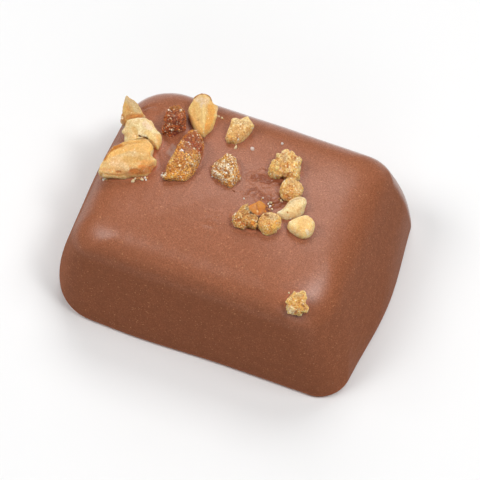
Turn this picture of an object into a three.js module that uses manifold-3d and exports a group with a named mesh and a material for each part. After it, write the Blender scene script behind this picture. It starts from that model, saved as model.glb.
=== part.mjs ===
// A filled milk chocolate bonbon, uncut: a coated loaf with sixteen pieces of chopped, sugared and
// caramelised hazelnut pressed into its top while the coating was soft.
//
// Frame: +X along the bonbon, +Y to its back, +Z up, origin on the table under its middle.
// Sizes are in millimetres and angles in degrees. The bonbon is solid, because nothing shows inside.
import * as THREE from 'three';
import { mergeVertices } from 'three/addons/utils/BufferGeometryUtils.js';
import Module from 'manifold-3d';

// The loaf. Its sides lean in towards the top, and its lower half bulges where the coating ran down.
const LOAF = {
  length: 35,
  width: 26.5,
  height: 15.5,
  endLean: 3.35, // how far each end has come in at the top
  sideLean: 2.5, // and each long side
  leanPower: 1.7, // above 1 the sides stay steep below and curve in above
  footRound: 0.6, // rounding where the coating meets the table
  edgeRound: 3.5, // rounding between the sides and the top
  crown: 0.7, // how far the top swells above its edge
};

// Corner roundings, anticlockwise from the back right: [at the foot, at the top].
const CORNERS = [
  { side: [1, 1], radius: [2.6, 3.3] },
  { side: [-1, 1], radius: [2.8, 5.6] },
  { side: [-1, -1], radius: [5.2, 2.5] },
  { side: [1, -1], radius: [3.2, 5.8] },
];

// Bulges of the coating, widest at the foot: where along the side (-1 to 1), how wide and how deep.
const BULGES = {
  right: { middle: 0.05, spread: 0.66, depth: 1.3 },
  left: { middle: 0, spread: 0.6, depth: 0.8 },
  back: { middle: 0, spread: 0.6, depth: 0.6 },
  front: { middle: -0.4, spread: 0.4, depth: 0.35 },
};

const CORNER_STEPS = 6;
const LONG_STEPS = 9;
const SHORT_STEPS = 6;
const FOOT_STEPS = 2;
const WALL_STEPS = 5;
const EDGE_STEPS = 6;
const TOP_STEPS = 4;

// Room between a nut piece and what it is pressed into or lies against.
const GAP = 0.3;

// How crisply a piece's broken faces meet: higher is sharper. And how far, in radians, the
// corners of its outline are worn.
const CRISPNESS = 16;
const CORNER_WEAR = 0.09;

// The pieces, those on top first: a later one gives way to an earlier one.
// place: its middle, seen from above; sunk: how far it goes into the chocolate; lean: its tilt
// about X and Y; outline: its corners from above, about its middle, anticlockwise from the left;
// block: 2 is a pebble and 4 a slab with steep sides; faces: broken faces, each with the
// direction that it looks in (round Z, then up) and its distance from the middle;
// knobs: how many bumps stand on it, how high and how wide.
const PIECES = [
  {
    name: 'hazelnut_wedge',
    finish: 'roasted',
    place: [-12.0, -0.5],
    thickness: 3.6,
    sunk: 1.0,
    lean: [4, -8],
    outline: [
      [-2.9, -1.3], [-2.3, 0.3], [-1.2, 1.5], [0.3, 2.4], [1.8, 2.6], [2.3, 1.4], [2.9, 0.9],
      [2.6, -0.5], [0.6, -1.8], [-1.1, -2.2], [-3.0, -2.2],
    ],
    block: 4,
    faces: [[250, 62, 1.75], [130, 70, 1.7]],
    knobs: { count: 10, height: 0.1, width: 0.5 },
    steps: 4,
  },
  {
    name: 'hazelnut_half',
    finish: 'pale',
    place: [-12.0, 3.2],
    thickness: 3.0,
    sunk: 0.8,
    lean: [0, -8],
    outline: [
      [-2.4, -0.2], [-2.2, 0.6], [-1.9, 1.1], [-0.5, 1.7], [0.6, 1.7], [1.8, 1.1], [2.5, -0.1],
      [2.3, -1.1], [1.0, -1.6], [-1.1, -1.6], [-1.9, -0.8],
    ],
    block: 2.6,
    faces: [[70, 55, 1.5]],
    knobs: { count: 8, height: 0.06, width: 0.5 },
    steps: 4,
  },
  {
    name: 'hazelnut_shard',
    finish: 'roasted',
    place: [-14.3, 5.9],
    thickness: 4.6,
    sunk: 1.3,
    lean: [0, -12],
    outline: [
      [-1.3, 0.9], [-0.8, 1.3], [0.5, 1.0], [1.4, 0.2], [1.1, -0.6], [0.3, -1.1], [-0.5, -1.3],
      [-1.2, -0.9],
    ],
    block: 3,
    faces: [[20, 40, 1.3], [170, 12, 1.15], [270, 28, 1.2]],
    knobs: { count: 8, height: 0.06, width: 0.4 },
    steps: 4,
  },
  {
    name: 'hazelnut_teardrop',
    finish: 'pale',
    place: [-6.7, 7.8],
    thickness: 3.2,
    sunk: 0.7,
    lean: [0, 0],
    outline: [
      [-1.7, 0.1], [-1.5, 1.2], [-1.1, 2.3], [-0.3, 2.8], [0.5, 2.2], [1.3, 1.6], [1.7, 0.5],
      [1.6, -0.8], [1.1, -2.5], [0.5, -2.5], [-1.0, -0.9],
    ],
    block: 2.6,
    faces: [[27, 52, 1.3], [207, 62, 1.35], [105, 30, 2.5]],
    knobs: { count: 6, height: 0.05, width: 0.5 },
    steps: 4,
  },
  {
    name: 'sugared_nut_long',
    finish: 'sugared',
    place: [-6.3, 1.8],
    thickness: 3.6,
    sunk: 0.9,
    lean: [0, 0],
    outline: [
      [-1.4, -0.5], [-0.9, 1.5], [-0.8, 2.9], [0, 3.3], [0.9, 2.9], [1.5, 1.5], [1.5, 0.4],
      [1.2, -1.2], [0.8, -2.4], [-0.8, -3.1], [-1.5, -2.5],
    ],
    block: 3,
    faces: [[285, 50, 1.9], [60, 60, 1.8]],
    knobs: { count: 20, height: 0.14, width: 0.35 },
    steps: 4,
  },
  {
    name: 'caramel_nut_lump',
    finish: 'caramel',
    place: [-9.2, 5.9],
    thickness: 3.6,
    sunk: 0.9,
    lean: [0, 0],
    outline: [
      [-1.2, -0.3], [-1.1, 1.0], [-0.2, 1.5], [0.8, 1.2], [1.2, 0.2], [1.0, -0.8], [0.1, -1.5],
      [-0.9, -1.4],
    ],
    block: 2.8,
    faces: [],
    knobs: { count: 18, height: 0.14, width: 0.4 },
    steps: 3,
  },
  {
    name: 'golden_nut_corner',
    finish: 'golden',
    place: [-2.1, 7.5],
    thickness: 2.8,
    sunk: 0.7,
    lean: [0, 0],
    outline: [
      [-1.2, -0.6], [-1.3, 0.9], [-0.5, 1.1], [0.2, 1.6], [0.8, 1.4], [1.3, 0.9], [1.0, -0.2],
      [0.3, -1.2], [-0.5, -1.6], [-1.2, -1.4],
    ],
    block: 3,
    faces: [[300, 55, 1.2]],
    knobs: { count: 8, height: 0.08, width: 0.4 },
    steps: 3,
  },
  {
    name: 'frosted_nut',
    finish: 'frosted',
    place: [-1.5, 2.1],
    thickness: 2.6,
    sunk: 0.8,
    lean: [0, 0],
    outline: [
      [-1.7, -0.2], [-1.4, 0.8], [-0.6, 1.6], [0.3, 1.6], [1.0, 1.0], [1.6, -0.2], [1.1, -1.5],
      [0.5, -1.7], [-1.2, -1.1],
    ],
    block: 2.8,
    faces: [],
    knobs: { count: 14, height: 0.1, width: 0.35 },
    steps: 3,
  },
  {
    name: 'cluster_nut_large',
    finish: 'golden',
    place: [4.4, 4.8],
    thickness: 3.2,
    sunk: 0.8,
    lean: [0, 0],
    outline: [
      [-1.7, -0.5], [-1.4, 0.7], [-0.7, 1.6], [0.4, 1.7], [1.3, 1.3], [1.6, 0.2], [1.6, -0.6],
      [0.8, -1.2], [-0.2, -1.3], [-1.1, -1.6],
    ],
    block: 2.4,
    faces: [],
    knobs: { count: 22, height: 0.28, width: 0.3 },
    steps: 4,
  },
  {
    name: 'cluster_nut_small',
    finish: 'golden',
    place: [5.9, 2.3],
    thickness: 2.7,
    sunk: 0.7,
    lean: [0, 0],
    outline: [
      [-1.2, 0.2], [-0.9, 0.9], [0.2, 1.1], [1.0, 0.9], [1.3, 0.2], [0.8, -0.8], [-0.3, -1.1],
      [-1.1, -0.7],
    ],
    block: 2.2,
    faces: [],
    knobs: { count: 12, height: 0.16, width: 0.35 },
    steps: 3,
  },
  {
    name: 'amber_caramel_chip',
    finish: 'amber',
    place: [3.4, -1.9],
    thickness: 2.6,
    sunk: 0.6,
    lean: [0, 0],
    outline: [[-0.9, -0.3], [-0.8, 0.5], [0, 1.0], [0.9, 0.7], [1.0, 0], [0.2, -0.9], [-0.5, -1.1]],
    block: 2.6,
    faces: [],
    knobs: { count: 4, height: 0.08, width: 0.5 },
    steps: 3,
  },
  {
    name: 'cluster_nut_round',
    finish: 'golden',
    place: [5.2, -2.5],
    thickness: 2.8,
    sunk: 0.7,
    lean: [0, 0],
    outline: [
      [-1.3, -0.4], [-1.1, 0.5], [-0.2, 1.1], [0.8, 1.1], [1.3, 0.4], [0.9, -0.7], [0, -1.3],
      [-0.9, -1.1],
    ],
    block: 2.2,
    faces: [],
    knobs: { count: 12, height: 0.14, width: 0.35 },
    steps: 3,
  },
  {
    name: 'caramel_cluster',
    finish: 'caramel',
    place: [2.5, -2.7],
    thickness: 2.8,
    sunk: 0.8,
    lean: [0, 0],
    outline: [
      [-1.5, -0.2], [-0.9, 0.8], [0.1, 1.3], [1.1, 0.8], [1.8, -0.3], [1.5, -1.1], [0.4, -1.1],
      [-0.9, -1.4],
    ],
    block: 2.4,
    faces: [],
    knobs: { count: 18, height: 0.2, width: 0.3 },
    steps: 3,
  },
  {
    name: 'pale_nut_round',
    finish: 'pale',
    place: [8.5, -1.4],
    thickness: 2.6,
    sunk: 0.6,
    lean: [0, 0],
    outline: [
      [-1.5, -0.5], [-1.1, 0.3], [-0.2, 0.9], [0.9, 1.1], [1.6, 0.5], [1.5, -0.5], [0.8, -1.2],
      [-0.6, -1.1],
    ],
    block: 2.2,
    faces: [],
    knobs: { count: 5, height: 0.05, width: 0.5 },
    steps: 3,
  },
  {
    name: 'pale_nut_long',
    finish: 'pale',
    place: [6.9, 0.4],
    thickness: 2.4,
    sunk: 0.6,
    lean: [0, 0],
    outline: [
      [-1.3, -1.1], [-0.6, -0.1], [0.1, 0.9], [0.8, 1.4], [1.3, 1.1], [1.2, 0.1], [0.7, -0.8],
      [-0.3, -1.4], [-1.0, -1.5],
    ],
    block: 2.4,
    faces: [],
    knobs: { count: 5, height: 0.05, width: 0.5 },
    steps: 3,
  },
  {
    name: 'cluster_nut_front',
    finish: 'golden',
    place: [11.2, -9.6],
    thickness: 2.6,
    sunk: 0.7,
    lean: [16, 8],
    outline: [
      [-1.2, -0.3], [-0.8, 0.9], [0, 1.2], [0.8, 0.8], [1.2, 0], [0.9, -0.8], [0, -1.2],
      [-0.9, -1.0],
    ],
    block: 2.4,
    faces: [],
    knobs: { count: 14, height: 0.2, width: 0.32 },
    steps: 3,
  },
];

const MATERIALS = {
  chocolate: { color: '#7b4a35', roughness: 0.42 },
  roasted: { color: '#cf9a52', roughness: 0.6 },
  pale: { color: '#e6c88c', roughness: 0.55 },
  golden: { color: '#cf9d58', roughness: 0.6 },
  frosted: { color: '#c9a26a', roughness: 0.7 },
  sugared: { color: '#b06f2f', roughness: 0.55 },
  amber: { color: '#c8762b', roughness: 0.25 },
  caramel: { color: '#6f3a1a', roughness: 0.4 },
};

const UP = new THREE.Vector3(0, 0, 1);
const DOWN = new THREE.Vector3(0, 0, -1);

const wasm = await Module();
wasm.setup();

function material(name) {
  return new THREE.MeshStandardMaterial({ name, metalness: 0, ...MATERIALS[name] });
}

/** A closed geometry as a solid for joins and cuts. */
function toSolid(geometry) {
  return new wasm.Manifold(new wasm.Mesh({
    numProp: 3,
    vertProperties: new Float32Array(geometry.getAttribute('position').array),
    triVerts: new Uint32Array(geometry.getIndex().array),
  }));
}

function toGeometry(solid) {
  const { vertProperties, triVerts } = solid.getMesh();
  const geometry = new THREE.BufferGeometry();
  geometry.setAttribute('position', new THREE.BufferAttribute(vertProperties, 3));
  geometry.setIndex(new THREE.BufferAttribute(triVerts, 1));
  geometry.computeVertexNormals();
  return geometry;
}

/** A smooth hump of height 1 at the middle, which fades out over the spread. */
function hump(at, { middle, spread }) {
  return Math.exp(-(((at - middle) / spread) ** 2));
}

/** How far the coating bulges out at a point of a ring, given as fractions of its half sizes. */
function bulge(alongX, alongY, up) {
  const end = alongX > 0 ? BULGES.right : BULGES.left;
  const flank = alongY > 0 ? BULGES.back : BULGES.front;
  const fade = 1 - up;
  return [
    Math.sign(alongX) * end.depth * hump(alongY, end) * Math.abs(alongX) ** 3 * fade,
    Math.sign(alongY) * flank.depth * hump(alongX, flank) * Math.abs(alongY) ** 3 * fade,
  ];
}

/** The loaf's outline at one height, drawn in by an inset, anticlockwise from the right. */
function ring(height, inset) {
  const up = THREE.MathUtils.clamp(height / LOAF.height, 0, 1);
  const lean = up ** LOAF.leanPower;
  const halfLength = LOAF.length / 2 - LOAF.endLean * lean - inset;
  const halfWidth = LOAF.width / 2 - LOAF.sideLean * lean - inset;
  const arcs = CORNERS.map(({ side, radius }, corner) => {
    const round = THREE.MathUtils.lerp(radius[0], radius[1], up);
    const points = [];
    for (let step = 0; step <= CORNER_STEPS; step += 1) {
      const angle = (corner + step / CORNER_STEPS) * Math.PI / 2;
      points.push(new THREE.Vector2(
        side[0] * (halfLength - round) + round * Math.cos(angle),
        side[1] * (halfWidth - round) + round * Math.sin(angle),
      ));
    }
    return points;
  });
  const points = [];
  arcs.forEach((arc, corner) => {
    points.push(...arc);
    const next = arcs[(corner + 1) % arcs.length][0];
    const steps = corner % 2 === 0 ? LONG_STEPS : SHORT_STEPS;
    for (let step = 1; step < steps; step += 1) {
      points.push(arc.at(-1).clone().lerp(next, step / steps));
    }
  });
  return points.map((point) => {
    const [outX, outY] = bulge(point.x / halfLength, point.y / halfWidth, up);
    return new THREE.Vector3(point.x + outX, point.y + outY, height);
  });
}

/** The loaf's rings, from the table up to the middle of the top. */
function loafRings() {
  const rings = [];
  for (let step = 0; step < FOOT_STEPS; step += 1) {
    const angle = (step / FOOT_STEPS) * Math.PI / 2;
    const round = LOAF.footRound;
    rings.push(ring(round * (1 - Math.cos(angle)), round * (1 - Math.sin(angle))));
  }
  const wallTop = LOAF.height - LOAF.crown - LOAF.edgeRound;
  for (let step = 0; step < WALL_STEPS; step += 1) {
    rings.push(ring(THREE.MathUtils.lerp(LOAF.footRound, wallTop, step / WALL_STEPS), 0));
  }
  for (let step = 0; step <= EDGE_STEPS; step += 1) {
    const angle = (step / EDGE_STEPS) * Math.PI / 2;
    rings.push(ring(
      wallTop + LOAF.edgeRound * Math.sin(angle),
      LOAF.edgeRound * (1 - Math.cos(angle)),
    ));
  }
  const rim = rings.at(-1);
  for (let step = 1; step < TOP_STEPS; step += 1) {
    const reach = 1 - step / TOP_STEPS;
    rings.push(rim.map((point) => new THREE.Vector3(
      point.x * reach,
      point.y * reach,
      point.z + LOAF.crown * (1 - reach ** 2),
    )));
  }
  return rings;
}

function loafGeometry() {
  const rings = loafRings();
  const count = rings[0].length;
  const points = rings.flat();
  const index = [];
  for (let level = 0; level + 1 < rings.length; level += 1) {
    for (let step = 0; step < count; step += 1) {
      const next = (step + 1) % count;
      const [a, b] = [level * count + step, level * count + next];
      index.push(a, b, b + count, a, b + count, a + count);
    }
  }
  const bottom = points.push(new THREE.Vector3(0, 0, 0)) - 1;
  const top = points.push(new THREE.Vector3(0, 0, LOAF.height)) - 1;
  const last = (rings.length - 1) * count;
  for (let step = 0; step < count; step += 1) {
    const next = (step + 1) % count;
    index.push(bottom, next, step, top, last + step, last + next);
  }
  const geometry = new THREE.BufferGeometry().setFromPoints(points);
  geometry.setIndex(index);
  geometry.computeVertexNormals();
  return geometry;
}

/** How far an outline reaches from its middle in one direction. */
function outlineReach(outline, angle) {
  const [cos, sin] = [Math.cos(angle), Math.sin(angle)];
  let reach = 0;
  outline.forEach(([x1, y1], corner) => {
    const [x2, y2] = outline[(corner + 1) % outline.length];
    const across = cos * (y2 - y1) - sin * (x2 - x1);
    const distance = (x1 * y2 - x2 * y1) / across;
    const along = (cos * y1 - sin * x1) / -across;
    if (distance > 0 && along >= 0 && along <= 1) reach = Math.max(reach, distance);
  });
  return reach;
}

/** The same with its corners worn, as the mean of a few directions close by. */
function wornReach(outline, angle) {
  const nearby = [-CORNER_WEAR, 0, CORNER_WEAR];
  const sum = nearby.reduce((total, turn) => total + outlineReach(outline, angle + turn), 0);
  return sum / nearby.length;
}

/** A unit vector from a turn round Z and a rise above the horizontal. */
function heading(turn, rise) {
  const [around, above] = [turn, rise].map(THREE.MathUtils.degToRad);
  const flat = Math.cos(above);
  return new THREE.Vector3(flat * Math.cos(around), flat * Math.sin(around), Math.sin(above));
}

/** Directions spread evenly over a ball along a spiral, turned by a start angle. */
function spread(count, start) {
  const golden = Math.PI * (3 - Math.sqrt(5));
  return Array.from({ length: count }, (_, step) => {
    const z = 1 - (2 * step + 1) / count;
    const flat = Math.sqrt(1 - z * z);
    const angle = start + step * golden;
    return new THREE.Vector3(flat * Math.cos(angle), flat * Math.sin(angle), z);
  });
}

/** Distance from the middle of a piece to its skin, in the direction of a unit vector. */
function skinDistance(piece, faces, knobs, direction) {
  const across = Math.hypot(direction.x, direction.y);
  const side = wornReach(piece.outline, Math.atan2(direction.y, direction.x));
  const block = (across / side) ** piece.block
    + (Math.abs(direction.z) / (piece.thickness / 2)) ** piece.block;
  let closeness = (block ** (1 / piece.block)) ** CRISPNESS;
  for (const { normal, distance } of faces) {
    const towards = normal.dot(direction);
    if (towards > 0) closeness += (towards / distance) ** CRISPNESS;
  }
  let reach = closeness ** (-1 / CRISPNESS);
  for (const knob of knobs) {
    const away = direction.angleTo(knob);
    reach += piece.knobs.height * Math.exp(-((away / piece.knobs.width) ** 2));
  }
  return reach;
}

/** One piece of nut about its own middle, made fuller all round by the given allowance. */
function pieceGeometry(piece, seed, allowance) {
  const ball = new THREE.IcosahedronGeometry(1, piece.steps);
  ball.deleteAttribute('normal');
  ball.deleteAttribute('uv');
  const geometry = mergeVertices(ball);
  const faces = piece.faces.map(([turn, rise, distance]) => ({
    normal: heading(turn, rise),
    distance,
  }));
  const knobs = spread(piece.knobs.count, seed);
  const position = geometry.getAttribute('position');
  const point = new THREE.Vector3();
  for (let vertex = 0; vertex < position.count; vertex += 1) {
    point.fromBufferAttribute(position, vertex).normalize();
    point.multiplyScalar(skinDistance(piece, faces, knobs, point) + allowance);
    position.setXYZ(vertex, point.x, point.y, point.z);
  }
  geometry.computeVertexNormals();
  return geometry;
}

/** Where a piece lies: on the loaf's skin, sunk in by its own depth. */
function pieceMatrix(piece, loafMesh) {
  const [x, y] = piece.place;
  const above = new THREE.Vector3(x, y, 2 * LOAF.height);
  const [landing] = new THREE.Raycaster(above, DOWN).intersectObject(loafMesh);
  const [leanX, leanY] = piece.lean.map(THREE.MathUtils.degToRad);
  const middle = landing.point.addScaledVector(UP, piece.thickness / 2 - piece.sunk);
  const turn = new THREE.Quaternion().setFromEuler(new THREE.Euler(leanX, leanY, 0));
  return new THREE.Matrix4().compose(middle, turn, new THREE.Vector3(1, 1, 1));
}

/** The solid without the room that the given pockets take, in the solid's own frame. */
function cutAway(solid, matrix, pockets) {
  const home = matrix.clone().invert();
  return pockets.reduce((rest, pocket) => {
    const moved = pocket.geometry.clone().applyMatrix4(home.clone().multiply(pocket.matrix));
    return rest.subtract(toSolid(moved));
  }, solid);
}

function buildBonbon() {
  const bonbon = new THREE.Group();
  const plainLoaf = new THREE.Mesh(loafGeometry(), material('chocolate'));
  const pockets = [];
  PIECES.forEach((piece, seed) => {
    const matrix = pieceMatrix(piece, plainLoaf);
    const solid = cutAway(toSolid(pieceGeometry(piece, seed, 0)), matrix, pockets);
    const mesh = new THREE.Mesh(toGeometry(solid), material(piece.finish));
    mesh.name = piece.name;
    mesh.applyMatrix4(matrix);
    bonbon.add(mesh);
    pockets.push({ geometry: pieceGeometry(piece, seed, GAP), matrix });
  });
  const coating = cutAway(toSolid(plainLoaf.geometry), new THREE.Matrix4(), pockets);
  const loaf = new THREE.Mesh(toGeometry(coating), plainLoaf.material);
  loaf.name = 'chocolate_loaf';
  bonbon.add(loaf);

  // The bulges differ from side to side, so the whole is moved to stand over the origin.
  const middle = new THREE.Box3().setFromObject(plainLoaf).getCenter(new THREE.Vector3());
  bonbon.position.set(-middle.x, -middle.y, 0);
  return bonbon;
}

export default buildBonbon();
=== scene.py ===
"""Dresses a filled milk chocolate bonbon: its coating, the nut pieces pressed into its top, their
sugar and the crumbs around them, on a pale floor under soft studio light.

Everything is in metres, +X along the bonbon, -Y towards its front long side and +Z up. The nut
pieces start from the solids of the frame, and the coating repeats the loaf's rule more finely.
"""
import math
from collections import namedtuple

import bmesh
import bpy
import numpy as np
from mathutils import Euler, Matrix, Vector, noise
from mathutils.bvhtree import BVHTree


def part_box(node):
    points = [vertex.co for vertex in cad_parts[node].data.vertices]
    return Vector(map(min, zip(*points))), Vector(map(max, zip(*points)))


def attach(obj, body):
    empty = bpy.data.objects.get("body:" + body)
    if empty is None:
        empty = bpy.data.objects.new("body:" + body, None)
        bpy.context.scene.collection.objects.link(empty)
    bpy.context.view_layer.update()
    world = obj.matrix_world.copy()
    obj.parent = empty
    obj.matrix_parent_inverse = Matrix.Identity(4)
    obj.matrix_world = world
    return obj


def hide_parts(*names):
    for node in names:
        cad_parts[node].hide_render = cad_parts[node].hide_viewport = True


bl_info = {
    "name": "Nut-topped chocolate bonbon",
    "version": (1, 0, 0),
    "blender": (4, 5, 0),
    "location": "3D View > Sidebar > Bonbon",
    "description": "Coating, nut pieces, sugar and crumbs of a filled milk chocolate bonbon",
    "category": "Object",
}

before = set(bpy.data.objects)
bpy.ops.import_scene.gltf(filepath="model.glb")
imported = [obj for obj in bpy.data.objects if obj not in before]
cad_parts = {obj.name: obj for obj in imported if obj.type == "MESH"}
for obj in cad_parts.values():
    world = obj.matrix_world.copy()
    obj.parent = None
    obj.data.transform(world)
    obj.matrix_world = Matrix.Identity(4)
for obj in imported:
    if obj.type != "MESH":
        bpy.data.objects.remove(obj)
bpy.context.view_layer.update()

MM = 0.001
UP = Vector((0, 0, 1))
# Keeps divisions from having nothing to divide by
TINY = 1e-9
ROOT = "root"
LOAF = "chocolate_loaf"


# Colours and properties

def linear(hex_colour):
    """A colour as seen, such as #7b4a35, in the linear light that shaders work in."""
    seen = [int(hex_colour[start:start + 2], 16) / 255 for start in (1, 3, 5)]
    return tuple(c / 12.92 if c <= 0.04045 else ((c + 0.055) / 1.055) ** 2.4 for c in seen)


def opaque(colour):
    return (*colour[:3], 1.0)


def size_property(name, description, millimetres):
    return bpy.props.FloatProperty(
        name=name, description=description, default=millimetres * MM, unit="LENGTH", precision=5
    )


def colour_property(name, description, hex_colour):
    return bpy.props.FloatVectorProperty(
        name=name, description=description, default=linear(hex_colour),
        subtype="COLOR", min=0, max=1,
    )


def number_property(name, description, default):
    return bpy.props.FloatProperty(name=name, description=description, default=default)


class CoatingSettings(bpy.types.PropertyGroup):
    """The milk chocolate coating: the loaf's rule and the finish of its skin."""

    length: size_property("Length", "Length at the foot, without its bulges", 35.0)
    width: size_property("Width", "Width at the foot, without its bulges", 26.5)
    height: size_property("Height", "Height without the nut pieces", 15.5)
    end_lean: size_property("End lean", "How far each end comes in towards the top", 3.35)
    side_lean: size_property("Side lean", "How far each long side comes in", 2.5)
    lean_power: number_property("Lean power", "Above 1 the sides stay steep below", 1.7)
    foot_round: size_property("Foot round", "Rounding where the coating meets the table", 0.6)
    edge_round: size_property("Edge round", "Rounding between the sides and the top", 3.5)
    crown: size_property("Crown", "How far the top swells above its edge", 0.7)
    wave: size_property("Wave", "Depth of the coating's broad unevenness", 0.07)
    ripple: size_property("Ripple", "Depth of its fine unevenness", 0.012)
    lip: size_property("Lip", "How far the coating climbs round a nut piece", 0.05)
    lip_width: size_property("Lip width", "How wide that climb is", 0.22)
    colour: colour_property("Colour", "Milk chocolate", "#9d6043")
    speck: colour_property("Speck", "Fine pale specks in it", "#c78a62")
    spark: colour_property("Spark", "Its few bright specks", "#e8bd96")
    mark: colour_property("Mark", "Bare chocolate in the marks", "#824730")
    bloom: colour_property("Bloom", "Greyish smears of fat and sugar", "#a98c80")
    roughness: number_property("Roughness", "Roughness of its satin skin", 0.34)


class NutSettings(bpy.types.PropertyGroup):
    """The nut pieces."""

    detail: size_property("Detail", "Distance between points of a nut piece's skin", 0.06)


class SugarSettings(bpy.types.PropertyGroup):
    """White sugar crystals on the nut pieces, and the loose crumbs."""

    crystal: size_property("Crystal", "Usual width of a sugar crystal", 0.13)
    spacing: size_property("Spacing", "Least distance between crystals", 0.13)
    white: colour_property("White", "Sugar crystals", "#fff4da")


class StageSettings(bpy.types.PropertyGroup):
    """Camera, lights and floor."""

    azimuth: bpy.props.FloatProperty(
        name="Azimuth", description="Where the camera stands, round from the front",
        default=math.radians(21.3), subtype="ANGLE",
    )
    elevation: bpy.props.FloatProperty(
        name="Elevation", description="Height of the camera above the horizon",
        default=math.radians(61.1), subtype="ANGLE",
    )
    distance: size_property("Distance", "From the camera to what it aims at", 300.0)
    lens: number_property("Lens", "Focal length in millimetres on a 36 mm sensor", 199.95)
    floor: colour_property("Floor", "The pale floor", "#eeeeee")


SETTINGS = {
    "bonbon_coating": CoatingSettings,
    "bonbon_nuts": NutSettings,
    "bonbon_sugar": SugarSettings,
    "bonbon_stage": StageSettings,
}


# Node trees

class Wire:
    """A socket of a node tree. Arithmetic with it, also with plain numbers, adds Math nodes."""

    def __init__(self, plan, socket):
        self.plan = plan
        self.socket = socket

    def __add__(self, other):
        return self.plan.math("ADD", self, other)

    def __sub__(self, other):
        return self.plan.math("SUBTRACT", self, other)

    def __rsub__(self, other):
        return self.plan.math("SUBTRACT", other, self)

    def __mul__(self, other):
        return self.plan.math("MULTIPLY", self, other)

    __radd__ = __add__
    __rmul__ = __mul__


class Plan:
    """A node tree being built."""

    def __init__(self, tree):
        self.tree = tree
        tree.nodes.clear()

    def add(self, kind, settings=None, inputs=None, output=0):
        """Adds a node with its settings first, then the values or wires of its sockets."""
        node = self.tree.nodes.new(kind)
        for name, value in (settings or {}).items():
            setattr(node, name, value)
        for key, value in (inputs or {}).items():
            if isinstance(value, Wire):
                self.tree.links.new(value.socket, node.inputs[key])
            else:
                node.inputs[key].default_value = value
        return Wire(self, node.outputs[output]) if node.outputs else node

    def math(self, operation, *values):
        return self.add("ShaderNodeMath", {"operation": operation}, dict(enumerate(values)))

    def vector(self, operation, *values):
        return self.add("ShaderNodeVectorMath", {"operation": operation}, dict(enumerate(values)))

    def ramp(self, value, low, high):
        """0 below low, 1 above high and a smooth step between."""
        return self.add(
            "ShaderNodeMapRange", {"interpolation_type": "SMOOTHSTEP"},
            {"Value": value, "From Min": low, "From Max": high},
        )

    def mix(self, share, first, second, blend="MIX"):
        """The first colour turned into the second by a share from 0 to 1."""
        return self.add(
            "ShaderNodeMix", {"data_type": "RGBA", "blend_type": blend, "clamp_factor": True},
            {0: share, 6: first, 7: second}, output=2,
        )


class Finish(Plan):
    """A material being built on Object coordinates."""

    def __init__(self, name):
        self.material = bpy.data.materials.new(name)
        self.material.use_nodes = True
        super().__init__(self.material.node_tree)
        self.place = self.add("ShaderNodeTexCoord", output="Object")

    def clouds(self, millimetres, detail=2.0):
        """Noise from 0 to 1 whose blotches have about this size."""
        return self.add(
            "ShaderNodeTexNoise", {}, {"Vector": self.place, "Scale": 1 / (millimetres * MM),
                                       "Detail": detail, "Roughness": 0.55},
        )

    def dots(self, millimetres, low, high):
        """Round dots, one in each cell of this size, fading out between two radii."""
        cell = self.add(
            "ShaderNodeTexVoronoi", {}, {"Vector": self.place, "Scale": 1 / (millimetres * MM)}
        )
        return 1 - self.ramp(cell, low, high)

    def grains(self, millimetres):
        """A random tone from 0 to 1 for each grain, and the distance from its middle."""
        cells = self.add(
            "ShaderNodeTexVoronoi", {}, {"Vector": self.place, "Scale": 1 / (millimetres * MM)},
            output="Color",
        )
        return self.red(cells), Wire(self, cells.socket.node.outputs["Distance"])

    def red(self, colour):
        return self.add("ShaderNodeSeparateColor", {}, {"Color": colour}, output="Red")

    def attribute(self, name):
        return self.add("ShaderNodeAttribute", {"attribute_name": name}, output="Fac")

    def part(self, vector, axis):
        return self.add("ShaderNodeSeparateXYZ", {}, {"Vector": vector}, output=axis)

    def bump(self, height, millimetres):
        return self.add(
            "ShaderNodeBump", {}, {"Height": height, "Strength": 1.0, "Distance": millimetres * MM}
        )

    def close(self, **sockets):
        """Adds the shader with its sockets, named with _ for a space, and ends the material."""
        inputs = {name.replace("_", " "): value for name, value in sockets.items()}
        shader = self.add("ShaderNodeBsdfPrincipled", {}, inputs)
        self.add("ShaderNodeOutputMaterial", {}, {"Surface": shader})
        return self.material


# Meshes

def positions(mesh):
    points = np.empty(len(mesh.vertices) * 3)
    mesh.vertices.foreach_get("co", points)
    return points.reshape(-1, 3)


def normals(mesh):
    directions = np.empty(len(mesh.vertices) * 3)
    mesh.vertex_normals.foreach_get("vector", directions)
    return directions.reshape(-1, 3)


def set_positions(mesh, points):
    mesh.vertices.foreach_set("co", points.ravel())
    mesh.update()


def store(mesh, name, values):
    """Keeps one number for each point, for a material or a scatter to read."""
    layer = mesh.attributes.get(name) or mesh.attributes.new(name, "FLOAT", "POINT")
    layer.data.foreach_set("value", np.asarray(values, dtype=np.float32))


def smooth_step(values):
    share = np.clip(values, 0, 1)
    return share * share * (3 - 2 * share)


def plain_mesh(holder):
    """What an object shows with its modifiers, as a plain mesh, and the object removed."""
    graph = bpy.context.evaluated_depsgraph_get()
    mesh = bpy.data.meshes.new_from_object(holder.evaluated_get(graph), depsgraph=graph)
    bpy.data.objects.remove(holder)
    return mesh


def mesh_of(form, name):
    """Turns a bmesh into a mesh and frees it."""
    mesh = bpy.data.meshes.new(name)
    form.to_mesh(mesh)
    form.free()
    return mesh


def place_object(name, data):
    """A new object in the scene that shows some data."""
    placed = bpy.data.objects.new(name, data)
    bpy.context.scene.collection.objects.link(placed)
    return placed


def add_piece(name, mesh, materials, nodes=()):
    """Shows a finished mesh as a smooth piece of the bonbon."""
    mesh.materials.clear()
    for material in materials:
        mesh.materials.append(material)
    mesh.shade_smooth()
    piece = place_object(name, mesh)
    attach(piece, ROOT)
    if nodes:
        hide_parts(*nodes)
    return piece


# Places and distances

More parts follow.
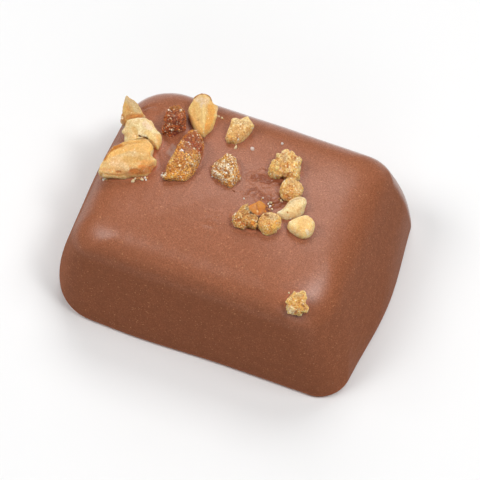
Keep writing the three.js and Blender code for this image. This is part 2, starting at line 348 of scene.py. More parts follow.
def camera_back(stage):
    """The unit vector from the bonbon to the camera."""
    flat = math.cos(stage.elevation)
    return Vector((
        math.sin(stage.azimuth) * flat, -math.cos(stage.azimuth) * flat,
        math.sin(stage.elevation),
    ))


def camera_right(stage):
    return Vector((math.cos(stage.azimuth), math.sin(stage.azimuth), 0))


def seen_axes(stage):
    """Right and up as the camera of the stage sees them, and the way back to it, as rows."""
    back, right = camera_back(stage), camera_right(stage)
    return np.array((right, back.cross(right), back))


def box_middle(node):
    """The middle of the box round a solid of the frame, in millimetres."""
    low, high = (np.array(corner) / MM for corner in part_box(node))
    return (low + high) / 2


def path_distance(path, flat):
    """The distance from each flat point to a path of straight stretches."""
    nearest = np.full(len(flat), np.inf)
    for start, end in zip(path, path[1:]):
        start, along = np.array(start), np.subtract(end, start)
        share = np.clip(((flat - start) @ along) / max(float(along @ along), TINY), 0, 1)
        nearest = np.minimum(nearest, np.linalg.norm(flat - start - share[:, None] * along, axis=1))
    return nearest


def noise_of(points, size, seed):
    """Smooth noise from -1 to 1 at each point, a different one for each seed."""
    offset = Vector((seed * 3.7, seed * 5.3, size * 11))
    return np.array([noise.noise(Vector(point) / size + offset) for point in points])


def hump(at, middle, spread):
    """A smooth hump of height 1."""
    return np.exp(-((at - middle) / spread) ** 2)


# Coating

# Corner roundings, anticlockwise from the back right: side in X and Y, radius at the foot and top.
CORNERS = (
    (1, 1, 2.6 * MM, 3.3 * MM),
    (-1, 1, 2.8 * MM, 5.6 * MM),
    (-1, -1, 5.2 * MM, 2.5 * MM),
    (1, -1, 3.2 * MM, 5.8 * MM),
)

# Bulges, widest at the foot: middle along the side (-1 to 1), spread and depth.
BULGES = {
    "right": (0.05, 0.66, 1.3 * MM),
    "left": (0, 0.6, 0.8 * MM),
    "back": (0, 0.6, 0.6 * MM),
    "front": (-0.4, 0.4, 0.35 * MM),
}

# Steps of the skin: round a corner, along the sides, and from the foot to the middle of the top
CORNER_STEPS = 44
LONG_STEPS = 76
SHORT_STEPS = 52
FOOT_STEPS = 6
WALL_STEPS = 46
EDGE_STEPS = 34
TOP_STEPS = 88

# Easing of the rim: over how many rings, how often, and how far each time.
EASE_REACH = 14
EASE_ROUNDS = 90
EASE_SHARE = 0.5

# Marks that sliding nut pieces left in the top, and one painted shadow, by the piece that they lie
# beside: the path as the camera of the stage sees it, right and up from the middle of that piece,
# the width and the height, below 0 for a groove, in millimetres, and how dark it is, below 0 for a
# pale smear.
Mark = namedtuple("Mark", "path width height dark")
MARKS = {
    "cluster_nut_small": (
        Mark(((-4.1, 1.15), (-3.4, 1.35), (-2.9, 1.0), (-2.5, 0.65)), 0.26, -0.12, 0.9),
        Mark(((-3.7, 0.85), (-3.0, 1.15), (-2.6, 1.2)), 0.14, 0.1, 0.2),
        Mark(((-2.8, 1.3), (-2.0, 1.1), (-1.4, 1.05)), 0.16, -0.08, 0.7),
        Mark(((-3.2, 0.7), (-2.3, 0.6), (-1.8, 0.85)), 0.12, -0.06, 0.5),
        # A painted shadow on the left of this nut piece, with a shallow groove.
        Mark(((-1.7, 1.2), (-1.0, 1.0), (-0.95, 0.2)), 0.34, -0.05, 0.95),
        Mark(((-2.3, -1.8), (-1.4, -1.7), (-0.8, -1.25)), 0.3, -0.1, 0.9),
        Mark(((-1.9, -2.3), (-1.2, -2.1)), 0.2, -0.06, 0.8),
        Mark(((-1.2, -1.2), (-0.6, -1.5)), 0.12, 0.08, 0.3),
    ),
    "caramel_cluster": (
        Mark(((0.1, 2.3), (0.5, 2.8), (1.15, 2.95), (1.4, 2.6), (0.9, 2.3)), 0.14, -0.07, 0.7),
        Mark(((0.45, 2.4), (0.8, 2.65)), 0.12, 0.06, 0.1),
    ),
    "cluster_nut_round": (
        Mark(((-0.9, 3.0), (-0.2, 2.7), (0.1, 2.4)), 0.16, -0.08, 0.75),
        Mark(((0.0, 2.35), (0.75, 2.55), (1.3, 2.95)), 0.14, -0.08, 0.7),
        Mark(((0.05, 1.85), (0.75, 1.75), (1.45, 2.25)), 0.24, -0.1, 0.85),
        Mark(((0.2, 2.1), (0.9, 2.2), (1.4, 2.6)), 0.1, 0.08, 0.1),
    ),
    "amber_caramel_chip": (
        Mark(((0.3, 1.5), (0.7, 1.3), (1.0, 1.35)), 0.16, -0.06, 0.8),
    ),
    "hazelnut_shard": (
        Mark(((1.1, 1.5), (1.8, 1.75), (2.6, 1.6), (2.9, 1.2), (2.3, 0.9), (1.5, 0.95)),
             0.2, -0.05, 0.3),
        Mark(((1.3, 1.2), (2.0, 1.35), (2.5, 1.2)), 0.18, 0.05, -0.25),
        Mark(((1.2, 0.55), (2.2, 0.5)), 0.15, 0.04, -0.2),
        Mark(((1.3, 0.0), (2.0, -0.3)), 0.14, -0.04, 0.25),
    ),
    "sugared_nut_long": (
        Mark(((-1.6, 1.2), (-1.4, 0.8)), 0.25, 0.03, -0.7),
        Mark(((-2.0, 0.5), (-1.8, 0.2)), 0.25, 0.03, -0.7),
    ),
    "pale_nut_round": (
        Mark(((-10.4, 0.1), (-9.7, -0.1)), 0.3, -0.03, 0.3),
    ),
}
# The height of the top that the marks lie on, in millimetres
MARKED_TOP = 15.1
# How much the width of a mark varies along it, and over what size in millimetres
MARK_RAGGEDNESS = 0.7
MARK_RAG_SIZE = 0.35
MARK_RAG_SEED = 3
# The ridge along each side of a groove, as a share of its depth, and how much wider its stain is
MARK_RIDGE = 0.35
STAIN_WIDTH = 1.4

# The nut pieces and the marks lie above this height.
TOP_ZONE = 11 * MM
# The coating is even at the table and as uneven as elsewhere from this height up.
SETTLED_ZONE = 2 * MM
# How far from a nut piece its lip is looked for, and the sizes of the coating's waves
NUT_SEARCH = 1.5 * MM
BROAD_WAVE = 6.0 * MM
FINE_RIPPLE = 1.1 * MM


def corner_arcs(half_length, half_width, up):
    """The rounded corners of the coating's outline, each as a line of flat points."""
    arcs = []
    for corner, (side_x, side_y, foot, top) in enumerate(CORNERS):
        radius = foot + (top - foot) * up
        angle = (corner + np.linspace(0, 1, CORNER_STEPS + 1)) * math.pi / 2
        arcs.append(np.column_stack((
            side_x * (half_length - radius) + radius * np.cos(angle),
            side_y * (half_width - radius) + radius * np.sin(angle),
        )))
    return arcs


def bulge(along, across, ends, up):
    """How far two opposite sides of the outline bulge along one axis, from places on both axes
    that run from -1 to 1."""
    (high_at, high_spread, high), (low_at, low_spread, low) = (BULGES[end] for end in ends)
    depth = np.where(
        along > 0, high * hump(across, high_at, high_spread),
        -low * hump(across, low_at, low_spread),
    )
    return depth * np.abs(along) ** 3 * (1 - up)


def coating_ring(coat, height, inset):
    """The coating's outline at one height, drawn in by an inset, anticlockwise from the right."""
    up = min(max(height / coat.height, 0), 1)
    lean = up ** coat.lean_power
    half_length = coat.length / 2 - coat.end_lean * lean - inset
    half_width = coat.width / 2 - coat.side_lean * lean - inset
    arcs = corner_arcs(half_length, half_width, up)
    stretches = []
    for corner, arc in enumerate(arcs):
        steps = LONG_STEPS if corner % 2 == 0 else SHORT_STEPS
        share = np.linspace(0, 1, steps + 1)[1:-1, None]
        following = arcs[(corner + 1) % len(arcs)]
        stretches += [arc, arc[-1] + (following[0] - arc[-1]) * share]
    flat = np.vstack(stretches)
    along_x, along_y = flat[:, 0] / half_length, flat[:, 1] / half_width
    bulged = flat + np.column_stack((
        bulge(along_x, along_y, ("right", "left"), up),
        bulge(along_y, along_x, ("back", "front"), up),
    ))
    return np.column_stack((bulged, np.full(len(flat), height)))


def coating_rings(coat):
    """The coating's rings from the table up to the middle of the top."""
    rings = []
    for share in np.arange(FOOT_STEPS) / FOOT_STEPS:
        angle = share * math.pi / 2
        rise, inset = 1 - math.cos(angle), 1 - math.sin(angle)
        rings.append(coating_ring(coat, coat.foot_round * rise, coat.foot_round * inset))
    wall_top = coat.height - coat.crown - coat.edge_round
    for share in np.arange(WALL_STEPS) / WALL_STEPS:
        height = coat.foot_round + (wall_top - coat.foot_round) * share
        rings.append(coating_ring(coat, height, 0))
    for share in np.arange(EDGE_STEPS + 1) / EDGE_STEPS:
        angle = share * math.pi / 2
        rise, inset = math.sin(angle), 1 - math.cos(angle)
        rings.append(coating_ring(coat, wall_top + coat.edge_round * rise, coat.edge_round * inset))
    rim = rings[-1]
    for reach in 1 - np.arange(1, TOP_STEPS) / TOP_STEPS:
        rings.append(rim * (reach, reach, 1) + (0, 0, coat.crown * (1 - reach ** 2)))
    return np.array(rings)


def ease_rim(rings):
    """Rounds the crease where the crown starts, along each line from the foot to the middle."""
    rim = FOOT_STEPS + WALL_STEPS + EDGE_STEPS
    share = hump(np.arange(len(rings)), rim, EASE_REACH)[1:-1, None, None]
    for _ in range(EASE_ROUNDS):
        inner = (rings[:-2] + rings[2:]) / 2
        rings[1:-1] += (inner - rings[1:-1]) * share * EASE_SHARE
    return rings


def skin_of_rings(rings):
    """A closed mesh over rings of points, with a point at the middle below and above."""
    levels, count = rings.shape[:2]
    first = np.arange(levels * count).reshape(levels, count)
    following = np.roll(first, -1, axis=1)
    quads = np.stack((first[:-1], following[:-1], following[1:], first[1:]), axis=-1).reshape(-1, 4)
    below, above = levels * count, levels * count + 1
    peak = 2 * rings[-1, :, 2].mean() - rings[-2, :, 2].mean()
    points = np.vstack((rings.reshape(-1, 3), (0, 0, 0), (0, 0, peak)))
    caps = [(below, b, a) for a, b in zip(first[0], following[0])]
    caps += [(above, a, b) for a, b in zip(first[-1], following[-1])]
    mesh = bpy.data.meshes.new("coating")
    mesh.from_pydata(points, [], quads.tolist() + caps)
    mesh.update()
    return mesh


def mark_heights(points, axes):
    """How far the marks raise or lower the coating at each point, and how dark they make it."""
    raised, darkened = np.zeros(len(points)), np.zeros(len(points))
    top = points[:, 2] > TOP_ZONE
    flat = points[top] / MM
    ragged = 1 + MARK_RAGGEDNESS * noise_of(flat, MARK_RAG_SIZE, MARK_RAG_SEED)
    back = axes[2]
    for node, marks in MARKS.items():
        for path, width, height, dark in marks:
            seen = np.array(path) @ axes[:2] + box_middle(node)
            landed = seen - back * ((seen[:, 2] - MARKED_TOP) / back[2])[:, None]
            away = path_distance(landed[:, :2], flat[:, :2]) * ragged
            ridge = MARK_RIDGE * hump(away, 2 * width, width)
            raised[top] += (hump(away, 0, width) - ridge) * height * MM
            darkened[top] += hump(away, 0, STAIN_WIDTH * width) * dark
    return raised, np.clip(darkened, -1, 1)


def nut_surfaces():
    """One search tree over all nut pieces."""
    points, faces = [], []
    for node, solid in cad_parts.items():
        if node == LOAF:
            continue
        start = len(points)
        points += [vertex.co.copy() for vertex in solid.data.vertices]
        faces += [[start + corner for corner in face.vertices] for face in solid.data.polygons]
    return BVHTree.FromPolygons(points, faces)


def uneven_coating(mesh, coat, axes):
    """Gives the coating its waves, the lips round the nut pieces and the marks."""
    points, outward = positions(mesh), normals(mesh)
    nuts = nut_surfaces()
    lift = np.zeros(len(points))
    closeness = np.zeros(len(points))
    for at, point in enumerate(points):
        place = Vector(point)
        settled = min(point[2] / SETTLED_ZONE, 1)
        lift[at] = settled * (
            coat.wave * noise.noise(place / BROAD_WAVE)
            + coat.ripple * noise.noise(place / FINE_RIPPLE)
        )
        if point[2] > TOP_ZONE:
            distance = nuts.find_nearest(place, NUT_SEARCH)[3]
            if distance is not None:
                closeness[at] = hump(distance, 0, coat.lip_width)
    raised, darkened = mark_heights(points, axes)
    lift += closeness * coat.lip + raised
    set_positions(mesh, points + outward * lift[:, None])
    store(mesh, "scuffs_and_painted_shade", darkened)
    # near_nut holds each point's closeness to a nut piece, where the material paints light.
    store(mesh, "near_nut", closeness)


# Sizes in millimetres of the chocolate's grain, of its pale specks and of the breaks in a mark
GRAIN = 0.13
SPECK = 0.18
MARK_BREAK = 0.2
# Sparks, which are painted glints, and pits: the size in millimetres of the cells that hold one
# each, and between which shares of that size they fade out
SPARK_CELL = 0.9
SPARK_EDGE = (0.035, 0.07)
PIT_EDGE = (0.05, 0.1)

# The foot is paler, where the table lights it, up to between these heights.
TABLE_GLOW = (0.3 * MM, 0.9 * MM)


class Faces:
    """Shares from 0 to 1: how far the coating's faces look up, right, back or to the front."""

    def __init__(self, finish):
        outward = finish.add("ShaderNodeNewGeometry", output="Normal")
        rightward, rearward, upward = (finish.part(outward, axis) for axis in "XYZ")
        self.steep = 1 - finish.ramp(upward, 0.3, 0.95)
        self.flat = finish.ramp(upward, 0.2, 0.75)
        self.front = 1 - finish.ramp(rearward, -0.92, -0.6)
        self.right = finish.ramp(rightward, 0.4, 0.8)
        self.right_edge = finish.ramp(rightward, 0.4, 0.65)
        self.far_sides = finish.ramp(rearward, 0.1, 0.4) + finish.ramp(rightward, 0.6, 0.9) * 0.3


def toned(coat, factor):
    """The chocolate's colour, darker or lighter."""
    return opaque([c * factor for c in coat.colour])


def chocolate_colour(finish, coat, shade, faces):
    """Milk chocolate with blotches, specks, sparks as painted glints, and pits, and painted shade
    to the front and right.
    """
    def blotched(base, size, low, high, cover, tone):
        """Blotches of a size, whose edges lie between two levels of the noise."""
        return finish.mix(
            finish.ramp(finish.clouds(size), low, high) * cover, base, toned(coat, tone)
        )

    base = finish.mix(shade, toned(coat, 0.75), toned(coat, 1.28))
    base = blotched(base, size=0.35, low=0.35, high=0.7, cover=0.35, tone=0.8)
    on_sides = faces.steep * 0.35 + 0.1 + faces.right * 0.15
    base = blotched(base, size=0.8, low=0.4, high=0.65, cover=on_sides, tone=0.78)
    # Painted shade: faces that look right are darker.
    base = finish.mix(faces.right * 0.2, base, toned(coat, 0.5))
    base = blotched(base, size=1.6, low=0.45, high=0.75, cover=0.3, tone=0.84)
    base = blotched(base, size=6.0, low=0.4, high=0.75, cover=0.25, tone=0.88)
    # Painted shade: faces that look to the front are darker.
    base = finish.mix(faces.front * 0.4, base, toned(coat, 0.5))
    specks = finish.ramp(finish.clouds(SPECK, detail=0.0), 0.7, 0.85)
    base = finish.mix(specks * 0.6, base, opaque(coat.speck))
    # Painted glints: a few bright specks.
    base = finish.mix(finish.dots(SPARK_CELL, *SPARK_EDGE) * 0.7, base, opaque(coat.spark))
    base = finish.mix(finish.dots(SPARK_CELL, *PIT_EDGE) * 0.5, base, toned(coat, 0.6))
    above_table = finish.ramp(finish.part(finish.place, "Z"), *TABLE_GLOW)
    return finish.mix((1 - above_table) * 0.45, base, toned(coat, 1.45))


def chocolate_finish(coat):
    """Satin milk chocolate with a fine grain, the marks on its top, and painted light close to the
    nut pieces.
    """
    finish = Finish("milk chocolate")
    faces = Faces(finish)
    grain = finish.clouds(GRAIN, detail=1.0)
    shade = finish.ramp(grain, 0.25, 0.75)
    base = chocolate_colour(finish, coat, shade, faces)
    # The marks, and the painted shadow among them, darken the chocolate.
    marks = finish.attribute("scuffs_and_painted_shade")
    broken = (finish.clouds(MARK_BREAK) - 0.5) * 0.7
    base = finish.mix(finish.ramp(marks + broken, 0.25, 0.85) * 0.65, base, opaque(coat.mark))
    base = finish.mix(finish.ramp(broken - marks, 0.15, 0.6) * 0.5, base, opaque(coat.bloom))
    # Painted light: the chocolate is paler close to the nut pieces, filling in their contact
    # shadows.
    painted_light_by_nuts = finish.ramp(finish.attribute("near_nut"), 0.0, 1.0)
    base = finish.mix(painted_light_by_nuts * 0.6, base, toned(coat, 1.5))
    rough_marks = 1 + finish.ramp(marks, 0.1, 0.6) * 3
    grazing = finish.add("ShaderNodeLayerWeight", {}, {"Blend": 0.5}, output="Facing")
    dull = 1 - faces.right_edge * 0.75
    sheen = finish.ramp(grazing, 0.65, 0.85) * faces.far_sides
    gloss = 0.1 + faces.flat * 0.9 * dull + sheen * 0.9
    return finish.close(
        Base_Color=base, Roughness=0.6, Normal=finish.bump(grain * rough_marks, 0.02), IOR=1.45,
        Specular_IOR_Level=0.0, Coat_Weight=gloss * (0.75 + shade * 0.5),
        Coat_Roughness=coat.roughness, Coat_IOR=1.42,
        Subsurface_Weight=0.08, Subsurface_Radius=(1.0, 0.45, 0.25), Subsurface_Scale=0.4 * MM,
    )


class BONBON_OT_coating(bpy.types.Operator):
    """Makes the milk chocolate coating in place of the plain loaf"""

    bl_idname = "bonbon.coating"
    bl_label = "Coating"

    def execute(self, context):
        coat = context.scene.bonbon_coating
        rings = ease_rim(coating_rings(coat))
        outline = rings.reshape(-1, 3)
        middle = (outline.max(0) + outline.min(0)) / 2
        mesh = skin_of_rings(rings - (middle[0], middle[1], 0))
        uneven_coating(mesh, coat, seen_axes(context.scene.bonbon_stage))
        add_piece("coating", mesh, [chocolate_finish(coat)], [LOAF])
        return {"FINISHED"}


# Nut pieces

# Places on a nut piece are given as the camera of the stage sees them: millimetres to the right
# and up from the middle of the piece's box. The sizes and depths here are in millimetres too.

# A stroke on a nut piece: the path of its middle, how far it reaches, its colour and how strongly
# that covers, how far it stands out, how coarse it makes the grains, with 0 for as they are, and
# how much sugar lies on it.
Stroke = namedtuple(
    "Stroke", "path reach colour cover lift grain frost", defaults=(None, 1, 0, 0, 0)
)

# A nut piece: its slot and finish, its main and shade colours, its bumps as (size, depth), its
# grains as (size, depth, contrast), the share of grains that are white, points of the closed curve
# that outlines it, and its strokes.
Nut = namedtuple("Nut", "slot finish colour shade bumps grains white outline strokes")

NUTS = {
    "hazelnut_wedge": Nut(
        "roasted_nut", "flesh", "#e4be82", "#c08847", ((1.1, 0.1), (0.35, 0.04)),
        (0.3, 0.02, 0.1), 0,
        (
            (-3.5, -1.6), (-3.45, -0.95), (-2.85, 0.3), (-2.05, 1.45), (-1.3, 1.66),
            (-0.7, 2.02), (1.0, 2.2), (1.9, 2.15), (2.35, 1.7), (2.65, 1.1), (2.42, 0.42),
            (2.93, -0.05), (2.8, -0.7), (2.5, -1.1), (2.3, -1.55), (1.8, -1.9), (0.8, -1.95),
            (-1, -2.17), (-2.7, -1.95), (-3.2, -1.8),
        ),
        (
            Stroke(((-2.3, 0.4), (-0.9, 1.0), (0.9, 1.3), (2.1, 1.2)), 0.9, "#ecbb70"),
            Stroke(((-2.1, -0.1), (-0.9, 0.3), (0.4, 0.7)), 0.5, "#e4c189"),
            Stroke(((-1.9, -0.5), (-0.7, -0.6), (-0.35, -1.1)), 0.45, "#e7c493", lift=0.05),
            Stroke(((-0.4, 0.0), (0.9, -0.1), (2.0, 0.3)), 0.5, "#dbae69"),
            Stroke(((1.4, -0.4), (2.3, -0.4)), 0.45, "#dfa863", grain=2),
            Stroke(((-2.9, 0.05), (-2.45, 0.9), (-2.0, 1.3), (-1.3, 1.5), (-0.6, 1.85)),
                   0.34, "#c07a2c", lift=-0.04),
            Stroke(((-0.8, 1.75), (0.3, 2.0), (1.6, 2.05)), 0.3, "#dca860"),
            Stroke(((-2.95, 0.1), (-2.5, 0.95), (-2.1, 1.4)), 0.13, "#a06428"),
            Stroke(((-3.2, -1.3), (-2.2, -1.3), (-1.0, -1.5), (0.0, -1.75)), 0.6, "#e2b67c",
                   lift=-0.03, grain=3),
            Stroke(((-2.9, -1.85), (-1.6, -1.95), (-0.6, -2.0)), 0.22, "#fbd69a", lift=0.1),
            Stroke(((0.3, -1.45), (1.2, -1.3), (2.0, -1.3), (2.5, -1.0)), 0.55, "#c27f44",
                   lift=-0.06, grain=3),
            Stroke(((1.1, -0.85), (1.9, -0.85)), 0.3, "#de9650", grain=2),
            Stroke(((-1.5, -1.4), (-1.1, -1.4)), 0.2, "#b9824f", lift=-0.05),
            # A painted highlight along the edge of the notch.
            Stroke(((2.42, 0.42), (2.55, 0.9)), 0.18, "#ffe6b4"),
        ),
    ),
    "hazelnut_half": Nut(
        "pale_nut", "flesh", "#ead09c", "#d8b070", ((0.9, 0.06), (0.35, 0.03)), (0.3, 0.0, 0.05), 0,
        (
            (-2.2, 0.6), (-2.35, 0.25), (-2.15, 0.02), (-2.05, -0.3), (-2.1, -0.7), (-1.6, -1.3),
            (-0.6, -1.5), (0.5, -1.6), (1.3, -2.0), (1.95, -1.1), (2.0, -0.05), (1.5, 0.55),
            (0.95, 1.5), (0.7, 1.57), (0.0, 1.88), (-1.65, 1.6),
        ),
        (
            Stroke(((-1.6, 1.1), (-1.5, 0.2), (-1.5, -0.5)), 0.6, "#d8bb85"),
            Stroke(((-1.0, 0.6), (-0.6, -0.2)), 0.4, "#dfb978", lift=-0.12),
            Stroke(((-0.2, 1.4), (-0.35, 0.7), (-0.45, -0.1)), 0.22, "#f0d6a0", lift=0.06),
            # A painted highlight.
            Stroke(((0.2, 1.2), (0.8, 0.6)), 0.4, "#eacda8"),
            Stroke(((0.6, 0.1), (1.1, -0.4)), 0.5, "#ecc784"),
            Stroke(((1.75, -0.2), (1.85, -1.0), (1.5, -1.7)), 0.35, "#e8ba78"),
            # Painted shade in the crack, which is also sunk.
            Stroke(((-0.45, -0.2), (0.0, -0.38), (0.5, -0.58)), 0.14, "#6f3f20", lift=-0.22),
            Stroke(((-2.25, 0.6), (-2.25, 0.1), (-2.0, -0.3)), 0.2, "#ecd2a0", lift=0.05),
        ),
    ),
    "hazelnut_shard": Nut(
        "roasted_nut", "flesh", "#c8a66e", "#b07a41", ((0.6, 0.06), (0.25, 0.03)),
        (0.3, 0.02, 0.1), 0,
        (
            (-0.82, 2.1), (-0.5, 1.87), (0.32, 1.3), (1.0, 0.15), (1.25, -0.3), (0.9, -0.9),
            (0, -1.2), (-0.95, -1.2), (-1.45, -0.8), (-1.4, -0.1), (-1.07, 1.6),
        ),
        (
            Stroke(((-0.8, 1.8), (-0.2, 1.4), (0.3, 0.8)), 0.4, "#c2a67b"),
            Stroke(((0.0, 1.1), (0.3, 0.4), (0.7, 0.3)), 0.25, "#c7af81"),
            Stroke(((-1.0, 1.3), (-1.1, 0.6), (-0.9, 0.0)), 0.4, "#d1ac6f"),
            Stroke(((-0.7, -0.35), (0.2, -0.2), (0.9, -0.1)), 0.35, "#c1894d"),
            Stroke(((-1.35, -0.25), (-1.25, -0.8), (-1.0, -1.0)), 0.4, "#bd8854", grain=4),
            # A painted highlight on the brown corner.
            Stroke(((-1.32, -0.3), (-1.3, -0.4)), 0.14, "#f0dab2", lift=0.05),
        ),
    ),
    "hazelnut_teardrop": Nut(
        "pale_nut", "flesh", "#deba78", "#c99350", ((0.8, 0.05), (0.25, 0.02)),
        (0.3, 0.01, 0.05), 0,
        (
            (0, 2.42), (0.85, 2.08), (1.15, 1.32), (1.67, 0.9), (1.6, 0.1), (1.7, -0.15),
            (1.5, -0.4), (1.02, -1.5), (0.3, -2.35), (0.05, -2.5), (-0.3, -2.35), (-0.72, -2.0),
            (-0.9, -1.5), (-1.5, -0.4), (-1.65, 0.6), (-1.12, 1.6), (-0.95, 2.02),
        ),
        (
            Stroke(((-1.2, 0.3), (-0.9, -0.8), (-0.3, -1.9)), 0.5, "#e0b26d"),
            Stroke(((-0.5, 1.7), (0.4, 1.6), (0.0, 1.1)), 0.5, "#dec097"),
            Stroke(((0.9, 0.8), (1.0, 0.0), (0.75, -0.9), (0.4, -1.8)), 0.5, "#dfa654", lift=-0.03),
            Stroke(((0.1, 1.0), (0.12, -0.6), (0.1, -2.0)), 0.16, "#e6c07e", lift=0.06),
            Stroke(((-0.95, 1.9), (-0.4, 2.25), (0.3, 2.35), (0.8, 2.05), (1.0, 1.6)),
                   0.15, "#a8733c"),
            Stroke(((1.62, 0.7), (1.6, 0.1), (1.55, -0.3)), 0.2, "#e0bd88", grain=4),
            Stroke(((-1.6, 0.6), (-1.6, 0.0)), 0.2, "#f0c488", grain=2),
            Stroke(((-0.5, -0.65), (-0.5, -0.68)), 0.1, "#9a6433", lift=-0.05),
        ),
    ),
    "caramel_nut_lump": Nut(
        "dark_caramel", "caramel", "#a85622", "#62300f", ((0.7, 0.1),), (0.33, 0.12, 0.6), 0.05,
        (
            (-0.4, 1.7), (0.1, 1.82), (0.6, 1.62), (1.22, 0.7), (1.1, -0.6), (0.8, -1.2),
            (-0.2, -1.8), (-0.8, -1.7), (-1.3, -1.3), (-1.38, -0.8), (-1.15, -0.2), (-1.25, 0.4),
            (-0.7, 1.4),
        ),
        (
            Stroke(((-0.6, 1.4), (0.1, 1.6), (0.8, 1.2)), 0.35, "#a46428"),
            Stroke(((0.3, -0.3), (0.6, -1.0), (-0.3, -1.4)), 0.5, "#8c3e10", lift=-0.08),
            Stroke(((-1.1, -0.6), (-0.9, -1.3)), 0.35, "#984808"),
            Stroke(((-0.1, 0.3), (-0.5, 0.1)), 0.35, "#9a4a1c"),
            # Painted glints on small raised sugar crystals, down to the sixth stroke from here.
            Stroke(((-0.67, 1.22), (-0.62, 1.12)), 0.13, "#f7e6cc", lift=0.12),
            Stroke(((0.63, 1.2), (0.66, 1.2)), 0.13, "#fff4e2", lift=0.12),
            Stroke(((-0.4, -0.95), (-0.38, -0.98)), 0.12, "#f6e2c6", lift=0.1),
            Stroke(((0.48, -1.05), (0.5, -1.1)), 0.17, "#e8b878", lift=0.12),
            Stroke(((-0.45, 0.2), (-0.4, 0.18)), 0.12, "#d8aa78", lift=0.08),
            Stroke(((-0.75, 0.55), (-0.7, 0.55)), 0.12, "#a87850", lift=0.08),
        ),
    ),
    "sugared_nut_long": Nut(
        "sugared_nut", "crust", "#cf8a34", "#7e3e16", ((0.7, 0.07),), (0.22, 0.07, 0.5), 0.05,
        (
            (-0.53, 1.9), (0.26, 2.77), (0.9, 2.95), (1.4, 2.6), (1.72, 2.2), (1.92, 1.44),
            (1.86, 0.5), (0.92, -1.7), (0.3, -2.4), (-0.2, -2.7), (-1.3, -2.68), (-2.1, -2.6),
            (-2.55, -2.2), (-2.2, -1.7), (-1.95, -0.75),
        ),
        (
            Stroke(((0.0, 2.2), (1.0, 2.2), (1.4, 1.2), (0.3, 1.3)), 0.9, "#a0521a"),
            Stroke(((0.2, 1.7), (1.5, 1.0), (1.6, 0.3)), 0.4, "#9a430e"),
            Stroke(((-0.9, 1.0), (0.2, 0.6)), 0.45, "#b06416"),
            Stroke(((-1.3, 0.3), (-1.6, -0.7)), 0.35, "#d29a4a"),
            Stroke(((-1.9, -2.2), (-0.6, -2.0), (0.4, -1.9)), 0.5, "#dc9c42"),
            Stroke(((0.3, -0.2), (1.2, -0.2), (0.8, -0.8), (0.2, -1.2)), 0.55, "#e6a850", grain=2,
                   frost=0.2),
            Stroke(((-0.5, 0.62), (-0.42, 0.55)), 0.17, "#fffaf0", 0.7, lift=0.1),
            Stroke(((-0.2, 0.45), (-0.17, 0.4)), 0.13, "#57301a", lift=-0.1),
            Stroke(((-2.45, -2.25), (-2.35, -2.0)), 0.25, "#f2dcb0", lift=0.08, frost=0.4),
            Stroke(((-0.7, -1.05), (-0.65, -1.1)), 0.15, "#f3dcae", lift=0.05),
            Stroke(((0.0, 1.5), (0.05, 1.5)), 0.13, "#d8a870", lift=0.05),
        ),
    ),
    "golden_nut_corner": Nut(
        "golden_nut", "golden", "#e2b674", "#b57c3a", ((0.6, 0.05),), (0.2, 0.03, 0.22), 0.03,
        (
            (-0.87, 1.35), (-0.4, 1.47), (0.1, 1.33), (0.9, 1.63), (1.07, 1.35), (1.4, 0.9),
            (1.62, 0.6), (1.4, 0.1), (0, -1.4), (-1.1, -1.42), (-1.42, -1.2), (-1.47, -0.6),
            (-0.97, 1.0),
        ),
        (
            Stroke(((-0.5, 1.0), (0.6, 1.0), (1.0, 0.8)), 0.5, "#dfbd84"),
            Stroke(((1.35, 0.5), (1.1, -0.1)), 0.25, "#ffd080"),
            Stroke(((-1.2, -0.8), (-0.5, -1.25), (0.2, -0.9)), 0.4, "#f6c078", grain=3),
            # A painted glint.
            Stroke(((-0.2, -0.9), (-0.15, -0.98)), 0.13, "#fff3dc", lift=0.06),
            Stroke(((0.05, 0.5), (0.07, 0.5)), 0.1, "#a06e35"),
            Stroke(((0.5, -0.2), (0.52, -0.22)), 0.12, "#b98448"),
            Stroke(((-0.25, -0.8), (-0.24, -0.84)), 0.1, "#8f5c2c"),
        ),
    ),
    "frosted_nut": Nut(
        "frosted_nut", "crust", "#c2843a", "#8a5526", ((0.6, 0.06),), (0.24, 0.12, 0.6), 0.3,
        (
            (0.1, 1.87), (0.9, 1.4), (1.12, 0.9), (1.42, -0.3), (1.47, -1.0), (0.8, -1.7),
            (0.45, -1.97), (0.1, -1.77), (-1.3, -0.82), (-1.62, -0.3), (-1.6, 0.1), (-1.35, 0.7),
            (-0.2, 1.62),
        ),
        (
            Stroke(((-0.2, 1.2), (0.05, 1.0)), 0.4, "#c48e3c"),
            Stroke(((-1.2, 0.7), (-0.7, 0.4), (-0.2, 0.6)), 0.3, "#dab988", 0.7),
            Stroke(((-1.4, -0.15), (-0.9, -0.5), (-0.5, -0.95)), 0.3, "#f6e2bc", 0.6, frost=0.3),
            Stroke(((0.0, 0.5), (0.2, 0.2)), 0.22, "#f2dcb2", 0.9, frost=0.5),
            Stroke(((0.55, 1.3), (0.7, 0.8)), 0.2, "#dcb98a", 0.8),
            Stroke(((0.6, -0.7), (1.1, -1.0)), 0.26, "#e8bc7c", 0.7, frost=0.4),
            Stroke(((-0.25, -0.1), (0.15, -0.35)), 0.2, "#9a5c26", lift=-0.06),
            Stroke(((0.2, -0.7), (0.3, -0.8)), 0.15, "#96602e", lift=-0.05),
            Stroke(((0.9, 0.1), (1.1, -0.6)), 0.2, "#c88e48"),
            Stroke(((-0.7, 1.05), (-0.68, 1.05)), 0.12, "#140a05", lift=-0.05),
        ),
    ),
    "cluster_nut_large": Nut(
        "golden_nut", "golden", "#e2b26a", "#bd8138", ((0.7, 0.1),), (0.5, 0.16, 0.16), 0.02,
        (
            (0, 1.87), (0.3, 1.62), (0.7, 1.52), (1.12, 1.0), (1.45, 0.97), (1.72, 0.6),
